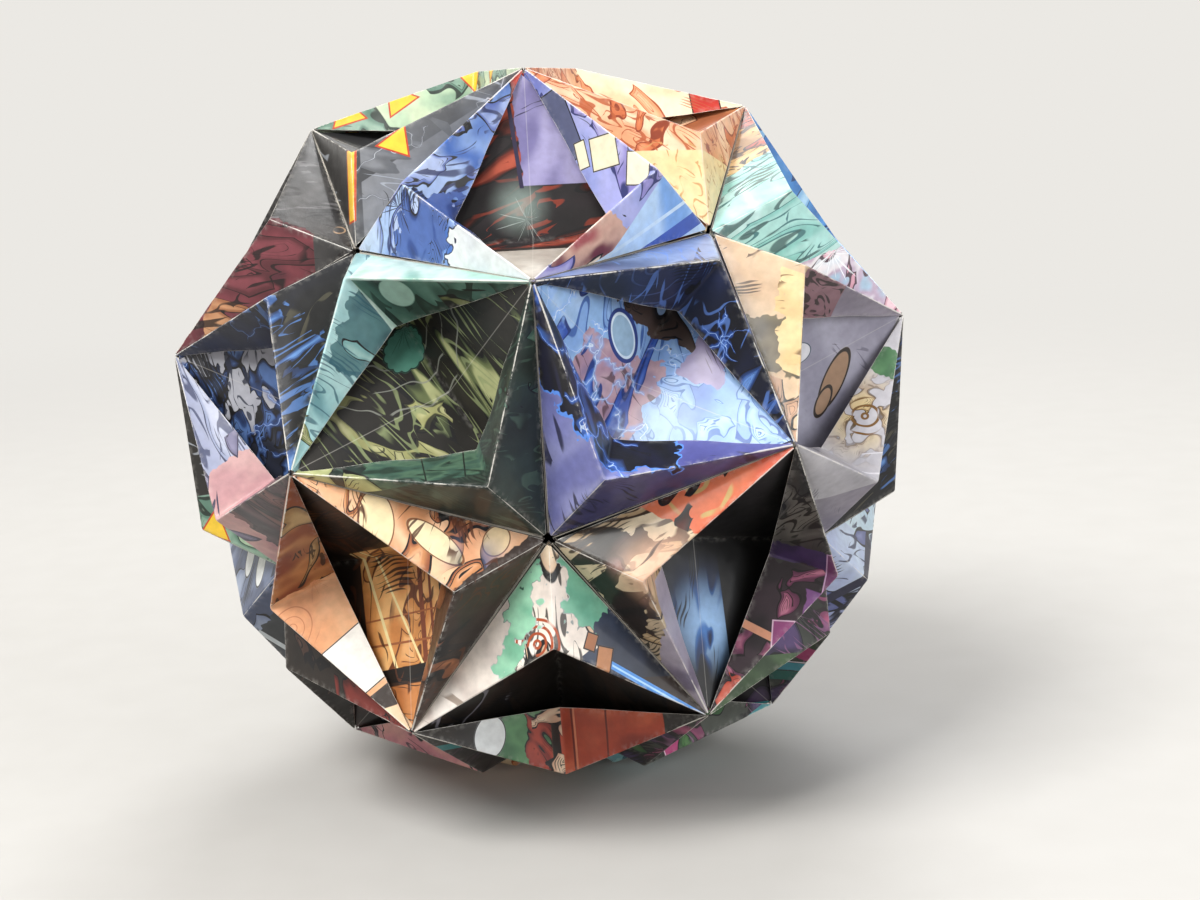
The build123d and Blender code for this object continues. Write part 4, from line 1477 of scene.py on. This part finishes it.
def fold_sheet(sheet):
    """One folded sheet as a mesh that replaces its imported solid."""
    made, shape = ball["made"], ball["made"].shape
    axes = made.axes[sheet]
    random = np.random.default_rng(sorted(made.ends).index(sheet) + FIRST_SEED)
    points, faces, slots, flats, worns = [], [], [], [], []
    count = 0

    def keep(outer, under, flat, worn, slot, turned):
        nonlocal count
        grid, quads, sides = shell(outer * turned, under * turned)
        points.append(grid)
        faces.append(quads + count)
        slots.append(np.repeat([slot, 3, 3], sides))
        flats.append(np.tile(flat.reshape(-1, 2), (2, 1)))
        worns.append(np.tile(worn.reshape(-1), 2))
        count += len(grid)

    hosts = []
    for half in range(2):
        turned = shape.turned if half else np.ones(3)
        outer, under, flat, worn = popped_flap(shape, made.sizes, random)
        keep(outer, under, flat * turned[:2], worn, 0, turned)
        outer, under, worn = tab_plate(shape, random.uniform(0.05, 0.25) * MM)
        next_hub = ((shape.tip + shape.inward * shape.square) * turned) @ axes
        host = made.host(made.ends[sheet][half], next_hub)
        hosts.append(host)
        flat = host_flat((outer * turned) @ axes, made.axes[host], shape.valley)
        keep(outer, under, flat, worn, 1 + half, turned)
        outer, under = fold_wall(shape)
        flat = host_flat((outer * turned) @ axes, axes, shape.valley)
        # The fold wall sits in the gap below the ridge; its fold value has the prints paint it
        # dark, as shade.
        keep(outer, under, flat, np.full(outer.shape[:2], IN_SHADED_GAP), 0, turned)
    outer, under, flat = valley_square(shape)
    keep(outer, under, flat, np.full(outer.shape[:2], FAR_FROM_FOLD), 0, np.ones(3))

    mesh = bpy.data.meshes.new(f"{sheet}_paper")
    placed = np.concatenate(points) @ axes + made.centre
    mesh.from_pydata(placed.tolist(), [], np.concatenate(faces).tolist())
    materials = [made.prints[sheet, "flaps"], *(made.prints[host, "recess"] for host in hosts),
                 made.inside]
    for material in materials:
        mesh.materials.append(material)
    mesh.polygons.foreach_set("material_index", np.concatenate(slots).astype(np.int32))
    flat = np.concatenate(flats)
    flat = np.concatenate([flat, np.zeros((len(flat), 1))], 1).astype(np.float32)
    mesh.attributes.new("flat", "FLOAT_VECTOR", "POINT").data.foreach_set("vector", flat.ravel())
    worn = np.concatenate(worns).astype(np.float32)
    mesh.attributes.new("fold", "FLOAT", "POINT").data.foreach_set("value", worn)
    mesh.shade_smooth()
    mesh.set_sharp_from_angle(angle=radians(50))  # folds are sharper than this, bows are not
    mesh.update()
    piece = bpy.data.objects.new(f"{sheet}_paper", mesh)
    bpy.context.scene.collection.objects.link(piece)
    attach(piece, "root")
    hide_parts(sheet)
    return piece


class PrepareBall(Operator):
    """Works out the hubs, the frames of the sheets and their prints"""

    bl_idname = "kusudama.prepare"
    bl_label = "Prepare the ball"

    def execute(self, context):
        ball["made"] = Ball(context.scene)
        return {"FINISHED"}


def fold_ring(ring, count):
    """Folds the sheets of one ring."""
    for step in range(1, count + 1):
        fold_sheet(f"{ring}_sheet_{step}")
    return {"FINISHED"}


class FoldBottomSheets(Operator):
    """Folds the five sheets that meet at the bottom hub"""

    bl_idname = "kusudama.bottom_sheets"
    bl_label = "Bottom sheets"

    def execute(self, context):
        return fold_ring("bottom", RING)


class FoldLowerSheets(Operator):
    """Folds the five sheets between the hubs of the lower ring"""

    bl_idname = "kusudama.lower_sheets"
    bl_label = "Lower sheets"

    def execute(self, context):
        return fold_ring("lower", RING)


class FoldBeltSheets(Operator):
    """Folds the ten sheets between the two rings of hubs"""

    bl_idname = "kusudama.belt_sheets"
    bl_label = "Belt sheets"

    def execute(self, context):
        return fold_ring("belt", 2 * RING)


class FoldUpperSheets(Operator):
    """Folds the five sheets between the hubs of the upper ring"""

    bl_idname = "kusudama.upper_sheets"
    bl_label = "Upper sheets"

    def execute(self, context):
        return fold_ring("upper", RING)


class FoldTopSheets(Operator):
    """Folds the five sheets that meet at the top hub"""

    bl_idname = "kusudama.top_sheets"
    bl_label = "Top sheets"

    def execute(self, context):
        return fold_ring("top", RING)


# Stage


def backdrop():
    """The floor and the wall behind it as one sheet: a straight floor, a quarter circle up and
    a straight wall, carried along X."""
    floor_end, bend, wall = 2.2, 0.9, 3.0
    turn = np.linspace(0, pi / 2, 17)
    depth = np.concatenate([[-9, 0], floor_end + bend * np.sin(turn), [floor_end + bend]])
    height = np.concatenate([[0, 0], bend * (1 - np.cos(turn)), [bend + wall]])
    across = np.linspace(-6, 6, 3)
    x, at = np.meshgrid(across, np.arange(len(depth)), indexing="ij")
    points = np.stack([x, depth[at], height[at]], -1).reshape(-1, 3)
    index = np.arange(x.size).reshape(x.shape)
    quads = np.stack([index[:-1, :-1], index[1:, :-1], index[1:, 1:], index[:-1, 1:]], -1)
    mesh = bpy.data.meshes.new("backdrop")
    mesh.from_pydata(points.tolist(), [], quads.reshape(-1, 4).tolist())
    mesh.shade_smooth()
    return mesh


def lamp(name, place, target, size, power, colour):
    """A square soft lamp at a place that shines at the target, its size in m and power in W."""
    light = bpy.data.lights.new(name, "AREA")
    light.shape, light.size, light.energy, light.color = "SQUARE", size, power, colour
    holder = bpy.data.objects.new(name, light)
    back = unit(np.array(place) - np.array(target))
    side = unit(np.cross((0, 0, 1), back))
    turn = np.array([side, np.cross(back, side), back]).T
    holder.matrix_world = Matrix.Translation(place) @ Matrix(turn.tolist()).to_4x4()
    bpy.context.scene.collection.objects.link(holder)


def seen(tree):
    """1 for rays from the camera or through gloss and glass, 0 for light that bounces."""
    path = tree.add("LightPath").outputs
    return tree.math("MAXIMUM", path["Is Camera Ray"], tree.math(
        "MAXIMUM", path["Is Glossy Ray"], path["Is Transmission Ray"]))


def floor_paint(colour):
    """A pale floor that keeps the ball's shadow and turns evenly pale away from it. The light
    that it throws back on the ball is that of a darker floor."""
    material = bpy.data.materials.new("pale_floor")
    material.use_nodes = True
    tree = Tree(material.node_tree)
    place = tree.add("TexCoord").outputs["Object"]
    grain = tree.math("MULTIPLY", tree.noise(place, 60, 2), 0.06)
    near = tree.mix(seen(tree), linear("8f8b86"), tree.mix(grain, (*colour, 1), linear("ffffff")))
    skin = material.node_tree.nodes["Principled BSDF"]
    tree.put(skin.inputs["Base Color"], near)
    skin.inputs["Roughness"].default_value = 0.75
    far = tree.add("Emission", {"Color": (*colour, 1), "Strength": 1.58})
    reach = tree.step(tree.vector("LENGTH", place, out=1), 0.3, 1.0)  # metres from the ball
    blend = tree.add("MixShader", {
        0: tree.math("MULTIPLY", reach, seen(tree)), 1: skin.outputs[0], 2: far.outputs[0]})
    tree.put(material.node_tree.nodes["Material Output"].inputs[0], blend.outputs[0])
    return material


def studio_air():
    """Soft even light all round, and a pale background for the camera."""
    world = bpy.data.worlds.new("studio")
    world.use_nodes = True
    tree = Tree(world.node_tree)
    background = world.node_tree.nodes["Background"]
    background.inputs[0].default_value = linear("efeeec")
    tree.put(background.inputs[1], tree.math(
        "ADD", 0.55, tree.math("MULTIPLY", seen(tree), 0.33)))
    return world


class SetStage(Operator):
    """Sets the floor, the soft lamps, the world and the camera at the photograph's angle"""

    bl_idname = "kusudama.stage"
    bl_label = "Stage"

    def execute(self, context):
        scene = context.scene
        floor = bpy.data.objects.new("floor", backdrop())
        scene.collection.objects.link(floor)
        floor.data.materials.append(floor_paint(scene.paper_colours.floor))

        middle = (0, 0, 0.084)  # of the ball
        lamp("key", (-0.75, -0.8, 1.45), middle, 0.8, 34.5, (1, 0.985, 0.96))
        lamp("fill", (1.3, -0.9, 0.6), middle, 1.2, 14, (0.95, 0.97, 1))
        lamp("back", (0.3, 1.1, 1.4), middle, 0.8, 17, (1, 1, 1))
        scene.world = studio_air()

        # The view in which the ball lies as it does in the photograph.
        camera = bpy.data.cameras.new("camera")
        camera.sensor_width, camera.lens = 36, 56.2
        camera.clip_start, camera.clip_end = 0.01, 20
        view = bpy.data.objects.new("camera", camera)
        pitch, roll, heading = radians(78.930), radians(3.032), radians(-1.406)
        turn = Euler((pitch, roll, heading)).to_matrix().to_4x4()
        view.matrix_world = Matrix.Translation((0.00625, -0.44637, 0.16407)) @ turn
        scene.collection.objects.link(view)
        scene.camera = view
        scene.view_settings.view_transform = "Standard"
        return {"FINISHED"}


class KusudamaPanel(Panel):
    """Lists the pieces of the ball"""

    bl_idname = "VIEW3D_PT_kusudama"
    bl_label = "Kusudama paper ball"
    bl_space_type = "VIEW_3D"
    bl_region_type = "UI"
    bl_category = "Kusudama"

    def draw(self, context):
        for group in (context.scene.fold_sizes, context.scene.paper_colours):
            for name in group.__annotations__:
                self.layout.prop(group, name)
        for step in STEPS:
            self.layout.operator(step.bl_idname)


STEPS = (PrepareBall, FoldBottomSheets, FoldLowerSheets, FoldBeltSheets, FoldUpperSheets,
         FoldTopSheets, SetStage)
CLASSES = (FoldSizes, PaperColours, *STEPS, KusudamaPanel)


def register():
    for kind in CLASSES:
        bpy.utils.register_class(kind)
    bpy.types.Scene.fold_sizes = PointerProperty(type=FoldSizes)
    bpy.types.Scene.paper_colours = PointerProperty(type=PaperColours)


def unregister():
    del bpy.types.Scene.paper_colours, bpy.types.Scene.fold_sizes
    for kind in reversed(CLASSES):
        bpy.utils.unregister_class(kind)


def main():
    """Builds every piece in order."""
    register()
    for step in STEPS:
        group, name = step.bl_idname.split(".")
        getattr(getattr(bpy.ops, group), name)()


if __name__ == "__main__":
    main()
